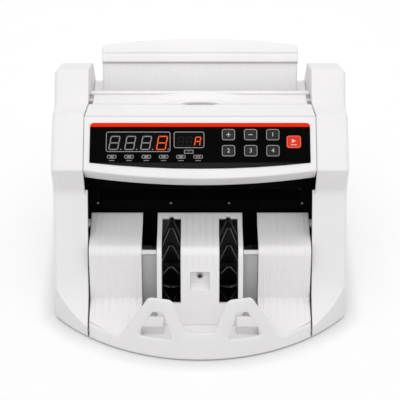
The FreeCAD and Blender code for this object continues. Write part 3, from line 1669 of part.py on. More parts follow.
os.makedirs("parts", exist_ok=True)
for thing in nodes:
    thing.Shape.exportStep(f"parts/{thing.Label}.step")
print(len(nodes), "sub-parts written")
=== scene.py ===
# %% [markdown]
# This lesson dresses a desk machine that counts banknotes. The shapes come from a packed
# model in metres, so every node already sits in its place. The script adds the printed
# panel, the fine ribs, the rivets and marks, and gives each piece a finish made of nodes.

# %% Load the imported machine
import bpy
import bmesh
import math
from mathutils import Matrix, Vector
from mathutils.bvhtree import BVHTree


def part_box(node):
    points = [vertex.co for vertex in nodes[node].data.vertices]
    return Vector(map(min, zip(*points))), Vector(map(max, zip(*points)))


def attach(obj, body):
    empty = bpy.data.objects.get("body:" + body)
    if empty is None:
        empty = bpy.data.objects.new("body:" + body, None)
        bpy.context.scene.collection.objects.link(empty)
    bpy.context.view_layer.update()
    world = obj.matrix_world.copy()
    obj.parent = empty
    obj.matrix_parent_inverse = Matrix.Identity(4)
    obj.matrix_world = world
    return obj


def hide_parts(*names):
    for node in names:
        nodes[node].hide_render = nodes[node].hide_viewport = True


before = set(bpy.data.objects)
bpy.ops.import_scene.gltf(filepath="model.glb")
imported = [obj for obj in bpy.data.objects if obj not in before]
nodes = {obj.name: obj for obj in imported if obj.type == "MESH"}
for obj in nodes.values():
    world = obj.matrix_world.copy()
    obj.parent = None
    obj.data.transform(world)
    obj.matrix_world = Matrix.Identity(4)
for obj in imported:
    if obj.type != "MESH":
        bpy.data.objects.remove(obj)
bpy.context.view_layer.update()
MM = 0.001
print("nodes loaded:", len(nodes))

# %% [markdown]
# Every finish starts as the same small set of nodes. A slow noise lets the tone drift, a fine
# noise is the grain of the mould or of the metal, and the grain also moves the roughness and
# the bump. One function holds that set, so each finish is only a line of numbers. A finish with
# an edge size also shades its sharp edges as if they were rounded.

# %% Tools for finishes
EVEN = (1, 1, 1)
NOISE_LOW = 0.3
NOISE_HIGH = 0.7
DRIFT_SCALE = 40
DRIFT_SHARE = 0.7
GRAIN_SHARE = 0.3
GRAIN_DEPTH = 0.2 * MM
ROUGH_DRIFT = 0.06
EDGE_SAMPLES = 6


def link(tree, start, end):
    tree.links.new(start, end)


def new_finish(name):
    material = bpy.data.materials.new(name)
    material.use_nodes = True
    tree = material.node_tree
    return material, tree, tree.nodes["Principled BSDF"]


def grain_of(tree, scale, detail, stretch=EVEN):
    place = tree.nodes.new("ShaderNodeTexCoord")
    mapping = tree.nodes.new("ShaderNodeMapping")
    mapping.inputs["Scale"].default_value = stretch
    noise = tree.nodes.new("ShaderNodeTexNoise")
    noise.inputs["Scale"].default_value = scale
    noise.inputs["Detail"].default_value = detail
    link(tree, place.outputs["Object"], mapping.inputs["Vector"])
    link(tree, mapping.outputs["Vector"], noise.inputs["Vector"])
    return noise.outputs["Fac"]


def spread(tree, value, low, high, start=NOISE_LOW, end=NOISE_HIGH):
    ramp = tree.nodes.new("ShaderNodeMapRange")
    limits = {"From Min": start, "From Max": end, "To Min": low, "To Max": high}
    for label, limit in limits.items():
        ramp.inputs[label].default_value = limit
    link(tree, value, ramp.inputs["Value"])
    return ramp.outputs["Result"]


def blend_colours(tree, factor, first, second):
    mix = tree.nodes.new("ShaderNodeMix")
    mix.data_type = "RGBA"
    link(tree, factor, mix.inputs[0])
    for socket, colour in ((mix.inputs[6], first), (mix.inputs[7], second)):
        if isinstance(colour, tuple):
            socket.default_value = (*colour, 1.0)
        else:
            link(tree, colour, socket)
    return mix.outputs[2]


def calculate(tree, operation, first, second):
    made = tree.nodes.new("ShaderNodeMath")
    made.operation = operation
    for socket, value in zip(made.inputs, (first, second)):
        if isinstance(value, (int, float)):
            socket.default_value = value
        else:
            link(tree, value, socket)
    return made.outputs[0]


def vector_step(tree, operation, first, second=(0, 0, 0)):
    made = tree.nodes.new("ShaderNodeVectorMath")
    made.operation = operation
    link(tree, first, made.inputs[0])
    made.inputs[1].default_value = second
    return made


def add_relief(tree, surface, height, strength, depth):
    relief = tree.nodes.new("ShaderNodeBump")
    relief.inputs["Strength"].default_value = strength
    relief.inputs["Distance"].default_value = depth
    link(tree, height, relief.inputs["Height"])
    link(tree, relief.outputs["Normal"], surface.inputs["Normal"])
    return relief


def finish(name, light, dark, rough, grain=1500, bump=0.05, metal=0.0, specular=0.5,
           stretch=EVEN, coat=0.0, edge=0.0):
    material, tree, surface = new_finish(name)
    slow = grain_of(tree, DRIFT_SCALE, 2, stretch)
    fine = grain_of(tree, grain, 3, stretch)
    tone = calculate(tree, "ADD", calculate(tree, "MULTIPLY", slow, DRIFT_SHARE),
                     calculate(tree, "MULTIPLY", fine, GRAIN_SHARE))
    colour = blend_colours(tree, spread(tree, tone, 0, 1), dark, light)
    link(tree, colour, surface.inputs["Base Color"])
    roughness = spread(tree, fine, rough - ROUGH_DRIFT, rough + ROUGH_DRIFT)
    link(tree, roughness, surface.inputs["Roughness"])
    relief = add_relief(tree, surface, fine, bump, GRAIN_DEPTH)
    if edge:
        rounding = tree.nodes.new("ShaderNodeBevel")
        rounding.samples = EDGE_SAMPLES
        rounding.inputs["Radius"].default_value = edge * MM
        link(tree, rounding.outputs["Normal"], relief.inputs["Normal"])
    surface.inputs["Metallic"].default_value = metal
    surface.inputs["Specular IOR Level"].default_value = specular
    surface.inputs["Coat Weight"].default_value = coat
    return material


print("finish tools ready")

# %% [markdown]
# The shell is white ABS with the fine matte grain that a spark-eroded mould leaves. A pure flat
# white would look like paper, so the tone drifts by two or three hundredths and the grain is
# half a millimetre wide. The flap and the centre plate are coloured a shade lighter than the rest,
# as painted light. The ribs and the crest take a white a little lighter than the shell, also as
# painted light that softens their shade.

# %% Moulded plastics and rubbers
SHELL = dict(rough=0.5, grain=2200, bump=0.06, specular=0.35)
SHELL_WHITE = ((0.872, 0.857, 0.858), (0.847, 0.833, 0.835))
# Painted light: the centre plate, the flap and the ribs are coloured lighter than the shell.
CENTRE_PAINTED_LIGHT_WHITE = ((0.92, 0.906, 0.907), (0.9, 0.886, 0.888))
FLAP_PAINTED_LIGHT_WHITE = ((0.945, 0.931, 0.932), (0.925, 0.911, 0.913))
RIB_PAINTED_LIGHT_WHITE = ((0.885, 0.87, 0.871), (0.86, 0.846, 0.848))
SHELL_EDGE = 1.5
FLAP_EDGE = 2.5
white_plastic = finish("white_plastic", *SHELL_WHITE, edge=SHELL_EDGE, **SHELL)
flap_plastic = finish("flap_plastic", *FLAP_PAINTED_LIGHT_WHITE, edge=FLAP_EDGE, **SHELL)
centre_plastic = finish("centre_plastic", *CENTRE_PAINTED_LIGHT_WHITE, edge=SHELL_EDGE, **SHELL)
rib_plastic = finish("rib_plastic", *RIB_PAINTED_LIGHT_WHITE, **SHELL)
flap_rib_plastic = finish("flap_rib_plastic", *FLAP_PAINTED_LIGHT_WHITE, **SHELL)
foot_rubber = finish("foot_rubber", (0.05, 0.05, 0.05), (0.03, 0.03, 0.03), 0.8, grain=900, bump=0.2)
key_plastic = finish("key_plastic", (0.03, 0.03, 0.031), (0.022, 0.022, 0.023), 0.45,
                     grain=2600, specular=0.06)
red_plastic = finish("red_plastic", (0.83, 0.036, 0.008), (0.74, 0.028, 0.006), 0.42,
                     grain=2600, specular=0.06)
pulley_plastic = finish("pulley_plastic", (0.72, 0.71, 0.67), (0.62, 0.61, 0.57), 0.45, grain=1200)
black_plastic = finish("black_plastic", (0.03, 0.03, 0.032), (0.018, 0.018, 0.02), 0.5,
                       grain=1800, bump=0.12)
rocker_plastic = finish("rocker_plastic", (0.035, 0.035, 0.037), (0.025, 0.025, 0.027), 0.25,
                        grain=3000, bump=0.02, coat=0.3)
roller_rubber = finish("roller_rubber", (0.07, 0.07, 0.072), (0.045, 0.045, 0.047), 0.75,
                       grain=700, bump=0.25, stretch=(0.2, 1, 1))
impeller_rubber = finish("impeller_rubber", (0.004, 0.004, 0.0045), (0.002, 0.002, 0.0025), 0.3,
                         grain=1600, bump=0.05, specular=0.07)
belt_rubber = finish("belt_rubber", (0.04, 0.04, 0.04), (0.022, 0.022, 0.022), 0.7,
                     grain=900, bump=0.3, stretch=(0.15, 1, 1))
print("plastics and rubbers made")

# %% [markdown]
# Metal shows its making. Ground shafts and brushed plates carry fine lines, so the same grain is
# stretched along one axis. Black paint on the exit guide, made darker than paint as painted
# shade, hides nearly all light, so the slit reads as a black band.

# %% Metals
channel_steel = finish("channel_steel", (0.6, 0.6, 0.6), (0.52, 0.52, 0.525), 0.5, grain=900,
                       bump=0.08, metal=0.35, stretch=(3, 1, 0.08))
bright_steel = finish("bright_steel", (0.6, 0.6, 0.62), (0.48, 0.48, 0.5), 0.3, grain=900,
                      bump=0.08, metal=1.0, stretch=(0.08, 2, 2))
sensor_chrome = finish("sensor_chrome", (0.5, 0.5, 0.52), (0.38, 0.38, 0.4), 0.22,
                       bump=0.02, metal=1.0)
# Painted shade: near black, darker than black paint, so the exit slit reads as a black band. The side
# frames share it.
black_steel = finish("black_steel", (0.003, 0.003, 0.003), (0.0015, 0.0015, 0.0015), 0.6, grain=1300,
                     bump=0.08, specular=0.02)
bush_bronze = finish("bush_bronze", (0.55, 0.37, 0.16), (0.38, 0.24, 0.1), 0.45, grain=1900,
                     bump=0.15, metal=1.0)
motor_can = finish("motor_can", (0.1, 0.1, 0.105), (0.06, 0.06, 0.065), 0.35, grain=700, bump=0.06,
                   metal=1.0, stretch=(0.06, 2, 2))
core_iron = finish("core_iron", (0.2, 0.17, 0.13), (0.1, 0.085, 0.07), 0.55, grain=300, bump=0.3,
                   stretch=(0.05, 6, 0.05))
print("metals made")

# %% [markdown]
# A circuit board is green lacquer over copper tracks. The tracks could be modelled, but they are
# a tenth of a millimetre high. A brick pattern in the finish gives the tracks and pads instead.

# %% Circuit board finish
TRACK_SCALE = 260
TRACK_WIDTH = 0.06
TRACK_DEPTH = 0.1 * MM


def board_finish():
    material, tree, surface = new_finish("circuit_board")
    place = tree.nodes.new("ShaderNodeTexCoord")
    tracks = tree.nodes.new("ShaderNodeTexBrick")
    tracks.inputs["Color1"].default_value = (0.012, 0.12, 0.03, 1)
    tracks.inputs["Color2"].default_value = (0.016, 0.16, 0.045, 1)
    tracks.inputs["Mortar"].default_value = (0.04, 0.3, 0.1, 1)
    tracks.inputs["Scale"].default_value = TRACK_SCALE
    tracks.inputs["Mortar Size"].default_value = TRACK_WIDTH
    link(tree, place.outputs["Object"], tracks.inputs["Vector"])
    link(tree, tracks.outputs["Color"], surface.inputs["Base Color"])
    fine = grain_of(tree, 600, 2)
    link(tree, spread(tree, fine, 0.28, 0.42), surface.inputs["Roughness"])
    add_relief(tree, surface, tracks.outputs["Fac"], 0.2, TRACK_DEPTH)
    return material


circuit_board = board_finish()
print("board finish made")

# %% [markdown]
# The control panel is a printed film on a face that leans back. Its colours follow the distance
# up that face, so the finish works out the distance from Object coordinates: a red band along
# the top, black in the middle and a dark grey band along the bowed foot.

# %% Panel film finish
PANEL_TILT = math.radians(42)
PANEL_ORIGIN = Vector((0, -21.2, 144.5)) * MM
PANEL_UP = Vector((0, math.cos(PANEL_TILT), math.sin(PANEL_TILT)))
PANEL_OUT = Vector((0, -math.sin(PANEL_TILT), math.cos(PANEL_TILT)))
RED_BAND_FOOT = 15.4 * MM
GREY_BAND_TOP = -15.1 * MM
FILM_DEPTH = 0.1 * MM


def distance_up_panel(tree):
    place = tree.nodes.new("ShaderNodeTexCoord")
    shift = vector_step(tree, "SUBTRACT", place.outputs["Object"], PANEL_ORIGIN)
    along = vector_step(tree, "DOT_PRODUCT", shift.outputs["Vector"], PANEL_UP)
    return along.outputs["Value"]


def film_finish():
    material, tree, surface = new_finish("panel_film")
    height = distance_up_panel(tree)
    fine = grain_of(tree, 2400, 2)
    drift = spread(tree, fine, 0, 1)
    black = blend_colours(tree, drift, (0.0012, 0.0012, 0.0013), (0.0018, 0.0018, 0.002))
    grey = blend_colours(tree, drift, (0.014, 0.014, 0.015), (0.02, 0.02, 0.021))
    red = blend_colours(tree, drift, (0.86, 0.02, 0.001), (0.9, 0.026, 0.002))
    low = calculate(tree, "LESS_THAN", height, GREY_BAND_TOP)
    high = calculate(tree, "GREATER_THAN", height, RED_BAND_FOOT)
    lower = blend_colours(tree, low, black, grey)
    link(tree, blend_colours(tree, high, lower, red), surface.inputs["Base Color"])
    link(tree, spread(tree, fine, 0.3, 0.4), surface.inputs["Roughness"])
    add_relief(tree, surface, fine, 0.03, FILM_DEPTH)
    surface.inputs["Specular IOR Level"].default_value = 0.01
    return material


panel_film = film_finish()
display_glass = finish("display_glass", (0.003, 0.0025, 0.0025), (0.0018, 0.0015, 0.0015), 0.12,
                       grain=2000, bump=0.01, specular=0.02)
lamp_plastic = finish("lamp_plastic", (0.004, 0.004, 0.004), (0.002, 0.002, 0.002), 0.3,
                      specular=0.1)
print("film finish made")

# %% [markdown]
# Printing ink lies on the film. Light grey draws the outlines, mid grey the dark segments of the
# displays, and orange the lit segments. A lit segment glows, so its finish has a little emission
# that the grain varies, enough to hold its colour in shade.

# %% Inks and lit segments


def glow(name, bright, deep, strength):
    material, tree, surface = new_finish(name)
    fine = grain_of(tree, 1800, 2)
    colour = blend_colours(tree, spread(tree, fine, 0, 1), deep, bright)
    link(tree, colour, surface.inputs["Base Color"])
    link(tree, colour, surface.inputs["Emission Color"])
    link(tree, spread(tree, fine, 0.35, 0.5), surface.inputs["Roughness"])
    surface.inputs["Emission Strength"].default_value = strength
    surface.inputs["Specular IOR Level"].default_value = 0.1
    return material


legend_ink = finish("legend_ink", (0.36, 0.36, 0.37), (0.3, 0.3, 0.31), 0.6, grain=3000, specular=0.1)
red_ink = finish("red_ink", (0.85, 0.22, 0.18), (0.76, 0.17, 0.14), 0.6, grain=3000, specular=0.1)
mark_ink = finish("mark_ink", (0.6, 0.6, 0.6), (0.5, 0.5, 0.5), 0.6, grain=3000, specular=0.2)
dark_segment = finish("dark_segment", (0.26, 0.26, 0.265), (0.21, 0.21, 0.215), 0.5,
                      grain=3000, specular=0.1)
faint_segment = finish("faint_segment", (0.013, 0.012, 0.012), (0.009, 0.008, 0.008), 0.5,
                       grain=3000, specular=0.05)
lit_segment = glow("lit_segment", (0.74, 0.09, 0.012), (0.62, 0.065, 0.008), 0.42)
red_light = glow("red_light", (0.4, 0.016, 0.008), (0.3, 0.01, 0.006), 0.25)
amber_light = glow("amber_light", (0.28, 0.12, 0.015), (0.2, 0.08, 0.01), 0.2)
print("inks made")

# %% [markdown]
# The model keeps its own slots. Each node now gets the finish that the real piece has, and the
# loop stops with a message if a node was forgotten.

# %% Hand out the finishes
FINISHES = {
    white_plastic: "right_cheek left_cheek base_tray panel_housing hopper_cover hopper_bar "
                   "hopper_floor stacker_plate_right stacker_plate_left rear_cover",
    centre_plastic: "stacker_plate_centre",
    flap_plastic: "hopper_flap",
    foot_rubber: "rubber_feet",
    panel_film: "panel_film",
    display_glass: "count_display batch_display",
    lamp_plastic: "indicator_lamps",
    key_plastic: "key_upper_1 key_upper_2 key_upper_3 key_lower_1 key_lower_2 key_lower_3",
    red_plastic: "red_key",
    circuit_board: "display_board main_board",
    channel_steel: "channel_plates",
    sensor_chrome: "stacker_sensor",
    black_steel: "exit_guide frame_right frame_left",
    bright_steel: "tie_rods impeller_shaft feed_shaft pinch_shaft pickup_shaft transport_shaft "
                  "case_screws",
    bush_bronze: "shaft_bushes",
    roller_rubber: "feed_rollers pickup_rollers transport_rollers pinch_rollers retard_rollers",
    impeller_rubber: "impeller_right impeller_left",
    pulley_plastic: "impeller_pulley feed_pulleys main_motor_pulley stacker_motor_pulley",
    motor_can: "main_motor stacker_motor",
    belt_rubber: "drive_belt timing_belt stacker_belt",
    core_iron: "transformer",
    black_plastic: "power_inlet switch_body gap_knob",
    rocker_plastic: "switch_rocker",
}
undressed = set(nodes)
for material, names in FINISHES.items():
    for name in names.split():
        nodes[name].data.materials.clear()
        nodes[name].data.materials.append(material)
        undressed.discard(name)
assert not undressed, f"nodes without a finish: {sorted(undressed)}"
print("finishes handed out:", len(FINISHES))

# %% [markdown]
# New pieces are small meshes: prisms on the panel, ribs on a plate, turned rivets. Each is made
# in place, in metres, with its object at the origin, and then told which body carries it.

# %% Tools for small pieces


def keep(piece, body):
    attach(piece, body)


def new_object(name, data):
    made = bpy.data.objects.new(name, data)
    bpy.context.scene.collection.objects.link(made)
    return made


def finished_mesh(holder):
    graph = bpy.context.evaluated_depsgraph_get()
    return bpy.data.meshes.new_from_object(holder.evaluated_get(graph))


def mesh_piece(name, points, faces, material):
    mesh = bpy.data.meshes.new(name)
    mesh.from_pydata([tuple(point) for point in points], [], faces)
    work = bmesh.new()
    work.from_mesh(mesh)
    bmesh.ops.recalc_face_normals(work, faces=work.faces)
    work.to_mesh(mesh)
    work.free()
    mesh.materials.append(material)
    return new_object(name, mesh)


def joined_rings(rings, looped=False):
    """A skin over rings of equal size. The end rings are capped, or joined where looped is set."""
    size = len(rings[0])
    count = len(rings)
    faces = []
    for ring in range(count if looped else count - 1):
        here = ring * size
        there = (ring + 1) % count * size
        for step in range(size):
            after = (step + 1) % size
            faces.append((here + step, here + after, there + after, there + step))
    if not looped:
        faces.append(tuple(range(size)))
        faces.append(tuple(range((count - 1) * size, count * size)))
    return [point for ring in rings for point in ring], faces


def together(*shapes):
    points = []
    faces = []
    for more_points, more_faces in shapes:
        first = len(points)
        points += more_points
        faces += [[first + corner for corner in face] for face in more_faces]
    return points, faces


def prisms(outlines, low, high, put):
    shapes = []
    for outline in outlines:
        rings = [[put(across, up, height) for across, up in outline] for height in (low, high)]
        shapes.append(joined_rings(rings))
    return together(*shapes)


def ring_prism(outer, inner, low, high, put):
    edges = ((outer, low), (outer, high), (inner, high), (inner, low))
    rings = [[put(across, up, height) for across, up in outline] for outline, height in edges]
    return joined_rings(rings, looped=True)


print("piece tools ready")

# %% [markdown]
# The flat outlines are few: a box, a box with round corners, a plus and a disc. Those on the panel
# are placed by their distance across it and up it, in millimetres from its middle.

# %% Outlines
CORNER_STEPS = 5
LEAST_RADIUS = 0.2
INK = 0.06


def plain_box(left, right, low, high):
    return [(left, low), (right, low), (right, high), (left, high)]


def box_about(across, up, half_wide, half_tall):
    return across - half_wide, across + half_wide, up - half_tall, up + half_tall


def rounded_box(left, right, low, high, radius):
    outline = []
    corners = ((right - radius, high - radius, 0), (left + radius, high - radius, 90),
               (left + radius, low + radius, 180), (right - radius, low + radius, 270))
    for across, up, start in corners:
        for step in range(CORNER_STEPS + 1):
            angle = math.radians(start + step * 90 / CORNER_STEPS)
            outline.append((across + radius * math.cos(angle), up + radius * math.sin(angle)))
    return outline


def plus_outline(reach, half):
    return [(-reach, -half), (-half, -half), (-half, -reach), (half, -reach),
            (half, -half), (reach, -half), (reach, half), (half, half),
            (half, reach), (-half, reach), (-half, half), (-reach, half)]


def disc(across, up, radius, steps=14):
    turn = math.tau / steps
    return [(across + radius * math.cos(turn * step), up + radius * math.sin(turn * step))
            for step in range(steps)]


def on_panel(across, up, out):
    return PANEL_ORIGIN + (Vector((1, 0, 0)) * across + PANEL_UP * up + PANEL_OUT * out) * MM


def outlined_box(left, right, low, high, radius, line, bottom, top):
    outer = rounded_box(left, right, low, high, radius)
    inner = rounded_box(left + line, right - line, low + line, high - line,
                        max(radius - line, LEAST_RADIUS))
    return ring_prism(outer, inner, bottom, top, on_panel)


def top_of(node):
    heights = [(corner.co - PANEL_ORIGIN).dot(PANEL_OUT) for corner in nodes[node].data.vertices]
    return max(heights) / MM


FILM_TOP = max(top_of("panel_film"), top_of("count_display"), top_of("batch_display"))
PRINT = (FILM_TOP - INK, FILM_TOP + INK)
print("film top above the panel plane, mm:", round(FILM_TOP, 3))

# %% [markdown]
# Many things here repeat in a row or round a centre: digits, lamps, ribs, rivets, ticks. One
# geometry node tree serves them all. It lays points along a step, turns each copy by a turn, puts
# the piece on them, makes the copies real and sets the finish.

# %% A tree that repeats a piece
STILL = (0, 0, 0)
TREE_INPUTS = {"Geometry": "NodeSocketGeometry", "Piece": "NodeSocketObject", "Count": "NodeSocketInt",
               "Start": "NodeSocketVector", "Step": "NodeSocketVector", "Turn": "NodeSocketVector",
               "Finish": "NodeSocketMaterial"}


def repeat_tree():
    tree = bpy.data.node_groups.new("repeat_piece", "GeometryNodeTree")
    sockets = {}
    for label, kind in TREE_INPUTS.items():
        made = tree.interface.new_socket(label, in_out="INPUT", socket_type=kind)
        sockets[label] = made.identifier
    tree.interface.new_socket("Geometry", in_out="OUTPUT", socket_type="NodeSocketGeometry")
    given = tree.nodes.new("NodeGroupInput")
    result = tree.nodes.new("NodeGroupOutput")
    line = tree.nodes.new("GeometryNodeMeshLine")
    line.mode = "OFFSET"
    link(tree, given.outputs["Count"], line.inputs["Count"])
    link(tree, given.outputs["Start"], line.inputs["Start Location"])
    link(tree, given.outputs["Step"], line.inputs["Offset"])
    piece = tree.nodes.new("GeometryNodeObjectInfo")
    link(tree, given.outputs["Piece"], piece.inputs["Object"])
    number = tree.nodes.new("GeometryNodeInputIndex")
    turn = vector_step(tree, "SCALE", given.outputs["Turn"])
    link(tree, number.outputs["Index"], turn.inputs["Scale"])
    copies = tree.nodes.new("GeometryNodeInstanceOnPoints")
    link(tree, line.outputs["Mesh"], copies.inputs["Points"])
    link(tree, piece.outputs["Geometry"], copies.inputs["Instance"])
    link(tree, turn.outputs["Vector"], copies.inputs["Rotation"])
    real = tree.nodes.new("GeometryNodeRealizeInstances")
    link(tree, copies.outputs["Instances"], real.inputs["Geometry"])
    dress = tree.nodes.new("GeometryNodeSetMaterial")
    link(tree, real.outputs["Geometry"], dress.inputs["Geometry"])
    link(tree, given.outputs["Finish"], dress.inputs["Material"])
    link(tree, dress.outputs["Geometry"], result.inputs["Geometry"])
    return tree, sockets


REPEAT, SOCKETS = repeat_tree()


def repeat(name, shape, count, material, body, pitch=0, start=STILL, turn=STILL):
    """Copies of a shape, each one pitch further across, in millimetres, and one turn further round."""
    sample = mesh_piece(name + "_sample", *shape, material)
    holder = new_object(name, bpy.data.meshes.new(name))
    copies = holder.modifiers.new("repeat", "NODES")
    copies.node_group = REPEAT
    values = {"Piece": sample, "Count": count, "Start": Vector(start),
              "Step": Vector((pitch, 0, 0)) * MM, "Turn": Vector(turn), "Finish": material}
    for label, value in values.items():
        copies[SOCKETS[label]] = value
    mesh = finished_mesh(holder)
    holder.modifiers.remove(copies)
    holder.data = mesh
    bpy.data.objects.remove(sample)
    assert len(mesh.polygons), f"{name} came out empty"
    keep(holder, body)


print("repeat tree inputs:", list(SOCKETS))

# %% [markdown]
# A seven segment digit is seven pointed bars on a slant. A function gives the outline of each bar,
# so the same digit can be large or small, and any of its segments can be left out.

# %% Seven segment digits
SEGMENT_GAP = 0.12
ALL_SEGMENTS = "abcdefg"


def segment(start, end, thick):
    first = Vector(start)
    last = Vector(end)
    along = (last - first).normalized()
    side = Vector((-along.y, along.x)) * thick / 2
    point = along * thick / 2
    return [first, first + point + side, last - point + side,
            last, last - point - side, first + point - side]


def digit(left, names, glass, low, wide, tall, thick, lean):
    gap = SEGMENT_GAP * thick
    half = thick / 2
    right_line = wide - half
    middle = tall / 2
    ends = {
        "a": ((half + gap, tall - half), (right_line - gap, tall - half)),
        "b": ((right_line, tall - half - gap), (right_line, middle + gap)),
        "c": ((right_line, middle - gap), (right_line, half + gap)),
        "d": ((half + gap, half), (right_line - gap, half)),
        "e": ((half, middle - gap), (half, half + gap)),
        "f": ((half, tall - half - gap), (half, middle + gap)),
        "g": ((half + gap, middle), (right_line - gap, middle)),
    }
    outlines = []
    for name in names:
        corners = segment(*ends[name], thick)
        outlines.append([(left + corner.x + corner.y * lean, low + corner.y) for corner in corners])
    return prisms(outlines, glass, glass + INK, on_panel)


COUNT_DIGIT = dict(low=-4.4, wide=8.1, tall=12.0, thick=0.92, lean=0.17)
COUNT_LEFT = -74.6
COUNT_PITCH = 12.88
DARK_COUNT = 3
GLASS = top_of("count_display")
eight = digit(COUNT_LEFT, ALL_SEGMENTS, GLASS, **COUNT_DIGIT)
repeat("count_digits_dark", eight, DARK_COUNT, dark_segment, "machine",
       pitch=COUNT_PITCH)
lit_eight = digit(COUNT_LEFT + DARK_COUNT * COUNT_PITCH, ALL_SEGMENTS, GLASS, **COUNT_DIGIT)
keep(mesh_piece("count_digit_lit", *lit_eight, lit_segment), "machine")
print("count digits on glass at", round(GLASS, 2))

# %% [markdown]
# The decimal points are small discs at the foot of each digit. They repeat on the same pitch.

# %% Decimal points
POINT_SHIFT = 10.3
POINT_ROW = -3.9
POINT_RADIUS = 0.55
POINT_COUNT = DARK_COUNT + 1
dot = prisms([disc(COUNT_LEFT + POINT_SHIFT, POINT_ROW, POINT_RADIUS)], GLASS, GLASS + INK, on_panel)
repeat("decimal_points", dot, POINT_COUNT, dark_segment, "machine", pitch=COUNT_PITCH)
print("decimal points:", POINT_COUNT)

# %% [markdown]
# The small display holds three digits. Two are off and barely show through the smoked glass. The
# last is lit, without its bottom segment.

# %% Small display
BATCH_DIGIT = dict(low=-1.2, wide=5.0, tall=8.2, thick=0.85, lean=0.15)
BATCH_LEFT = -18.8
BATCH_PITCH = 6.9
DARK_BATCH = 2
SMALL_GLASS = top_of("batch_display")
small_eight = digit(BATCH_LEFT, ALL_SEGMENTS, SMALL_GLASS, **BATCH_DIGIT)
repeat("batch_digits_dark", small_eight, DARK_BATCH, faint_segment, "machine",
       pitch=BATCH_PITCH)
lit_shape = digit(BATCH_LEFT + DARK_BATCH * BATCH_PITCH, "abcefg", SMALL_GLASS, **BATCH_DIGIT)
keep(mesh_piece("batch_digit_lit", *lit_shape, lit_segment), "machine")
print("small display digits:", DARK_BATCH + 1)

# %% [markdown]
# Printed lines frame the two windows. They follow the window edge with rounded corners.

# %% Window outlines
LINE = 0.5
WINDOW_RADIUS = 1.9
WINDOWS = ((-76.4, -24.1, -6.0, 11.1), (-21.3, 3.5, -2.7, 11.1))
frames = [outlined_box(*window, WINDOW_RADIUS, LINE, *PRINT) for window in WINDOWS]
keep(mesh_piece("window_outlines", *together(*frames), legend_ink), "machine")
print("window outlines:", len(WINDOWS))

# %% [markdown]
# Six lamps stand in a row under the windows. Each has a printed outline, a milky block in the
# middle and a short bar below it. A spare lamp with an outline of its own sits under the small
# window. A dim light shows in the spare lamp and in the last one of the row.

# %% Lamps
LAMP_COUNT = 6
LAMP_PITCH = 14
LAMP_LEFT = -71.5
LAMP_ROW = -10.1
LAMP_HALF = (3.75, 1.5)
LAMP_RADIUS = 1.1
LAMP_LINE = 0.42
BLOCK_HALF = (1.7, 0.75)
BLOCK_RADIUS = 0.3
BAR_ROW = LAMP_ROW - 3.2
BAR_HALF = (2.2, 0.3)
BAR_RADIUS = 0.2
LAMP_TOP = max(FILM_TOP, top_of("indicator_lamps"))
LAMP_PRINT = (FILM_TOP - INK, LAMP_TOP + INK)
lamp_box = box_about(LAMP_LEFT, LAMP_ROW, *LAMP_HALF)
lamp_frame = outlined_box(*lamp_box, LAMP_RADIUS, LAMP_LINE, *LAMP_PRINT)
repeat("lamp_outlines", lamp_frame, LAMP_COUNT, legend_ink, "machine", pitch=LAMP_PITCH)
block_outline = rounded_box(*box_about(LAMP_LEFT, LAMP_ROW, *BLOCK_HALF), BLOCK_RADIUS)
lamp_block = prisms([block_outline], LAMP_TOP - INK, LAMP_TOP + INK, on_panel)
repeat("lamp_blocks", lamp_block, LAMP_COUNT, dark_segment, "machine", pitch=LAMP_PITCH)
bar_outline = rounded_box(*box_about(LAMP_LEFT, BAR_ROW, *BAR_HALF), BAR_RADIUS)
lamp_bar = prisms([bar_outline], *PRINT, on_panel)
repeat("lamp_bars", lamp_bar, LAMP_COUNT, dark_segment, "machine", pitch=LAMP_PITCH)
print("lamps in the row:", LAMP_COUNT)

# %% [markdown]
# The spare lamp is squarer, and the two lights are discs a little proud of the lamp face.

# %% Spare lamp and lights
SPARE_LAMP = (-12.9, -5.3, -7.5, -4.3)
SPARE_RADIUS = 0.4
SPARE_LINE = 0.45
RED_DOT = (LAMP_LEFT + (LAMP_COUNT - 1) * LAMP_PITCH, LAMP_ROW, 0.9)
AMBER_DOT = (-9.1, -5.9, 0.5)
spare_frame = outlined_box(*SPARE_LAMP, SPARE_RADIUS, SPARE_LINE, *LAMP_PRINT)
keep(mesh_piece("spare_lamp_outline", *spare_frame, legend_ink), "machine")
for colour, place, light in (("red", RED_DOT, red_light), ("amber", AMBER_DOT, amber_light)):
    lit_dot = prisms([disc(*place)], LAMP_TOP, LAMP_TOP + 2 * INK, on_panel)
    keep(mesh_piece(f"{colour}_lamp_dot", *lit_dot, light), "machine")
print("lights: 2")

# %% [markdown]
# Each key has a pale outline near its edge and a plain mark: plus, minus, figures from one to four,
# and a triangle over a bar on the red key. The marks are text or bars turned into mesh, then laid
# on the leaning key, so that they travel with it.

# %% Key marks
KEY_HALF = (10.8 / 2, 9.6 / 2)
RED_HALF = (11.6 / 2, 10.3 / 2)
KEY_RADIUS = 1.9
KEY_LINE = 0.5
KEY_INSET = 0.12
FIGURE_HEIGHT = 5.0


def figure_on_key(words, across, up, top):
    curve = bpy.data.curves.new("mark", "FONT")
    curve.body = words
    curve.align_x = "CENTER"
    curve.align_y = "CENTER"
    curve.size = FIGURE_HEIGHT
    curve.extrude = 0.5
    curve.resolution_u = 3
    holder = new_object("mark", curve)
    mesh = finished_mesh(holder)
    places = [corner.co for corner in mesh.vertices]
    points = [on_panel(across + at.x, up + at.y, top + (INK if at.z > 0 else -INK)) for at in places]
    faces = [list(face.vertices) for face in mesh.polygons]
    bpy.data.objects.remove(holder)
    return points, faces


def bars_on_key(outlines, across, up, top):
    moved = [[(across + x, up + y) for x, y in outline] for outline in outlines]
    return prisms(moved, top - INK, top + INK, on_panel)


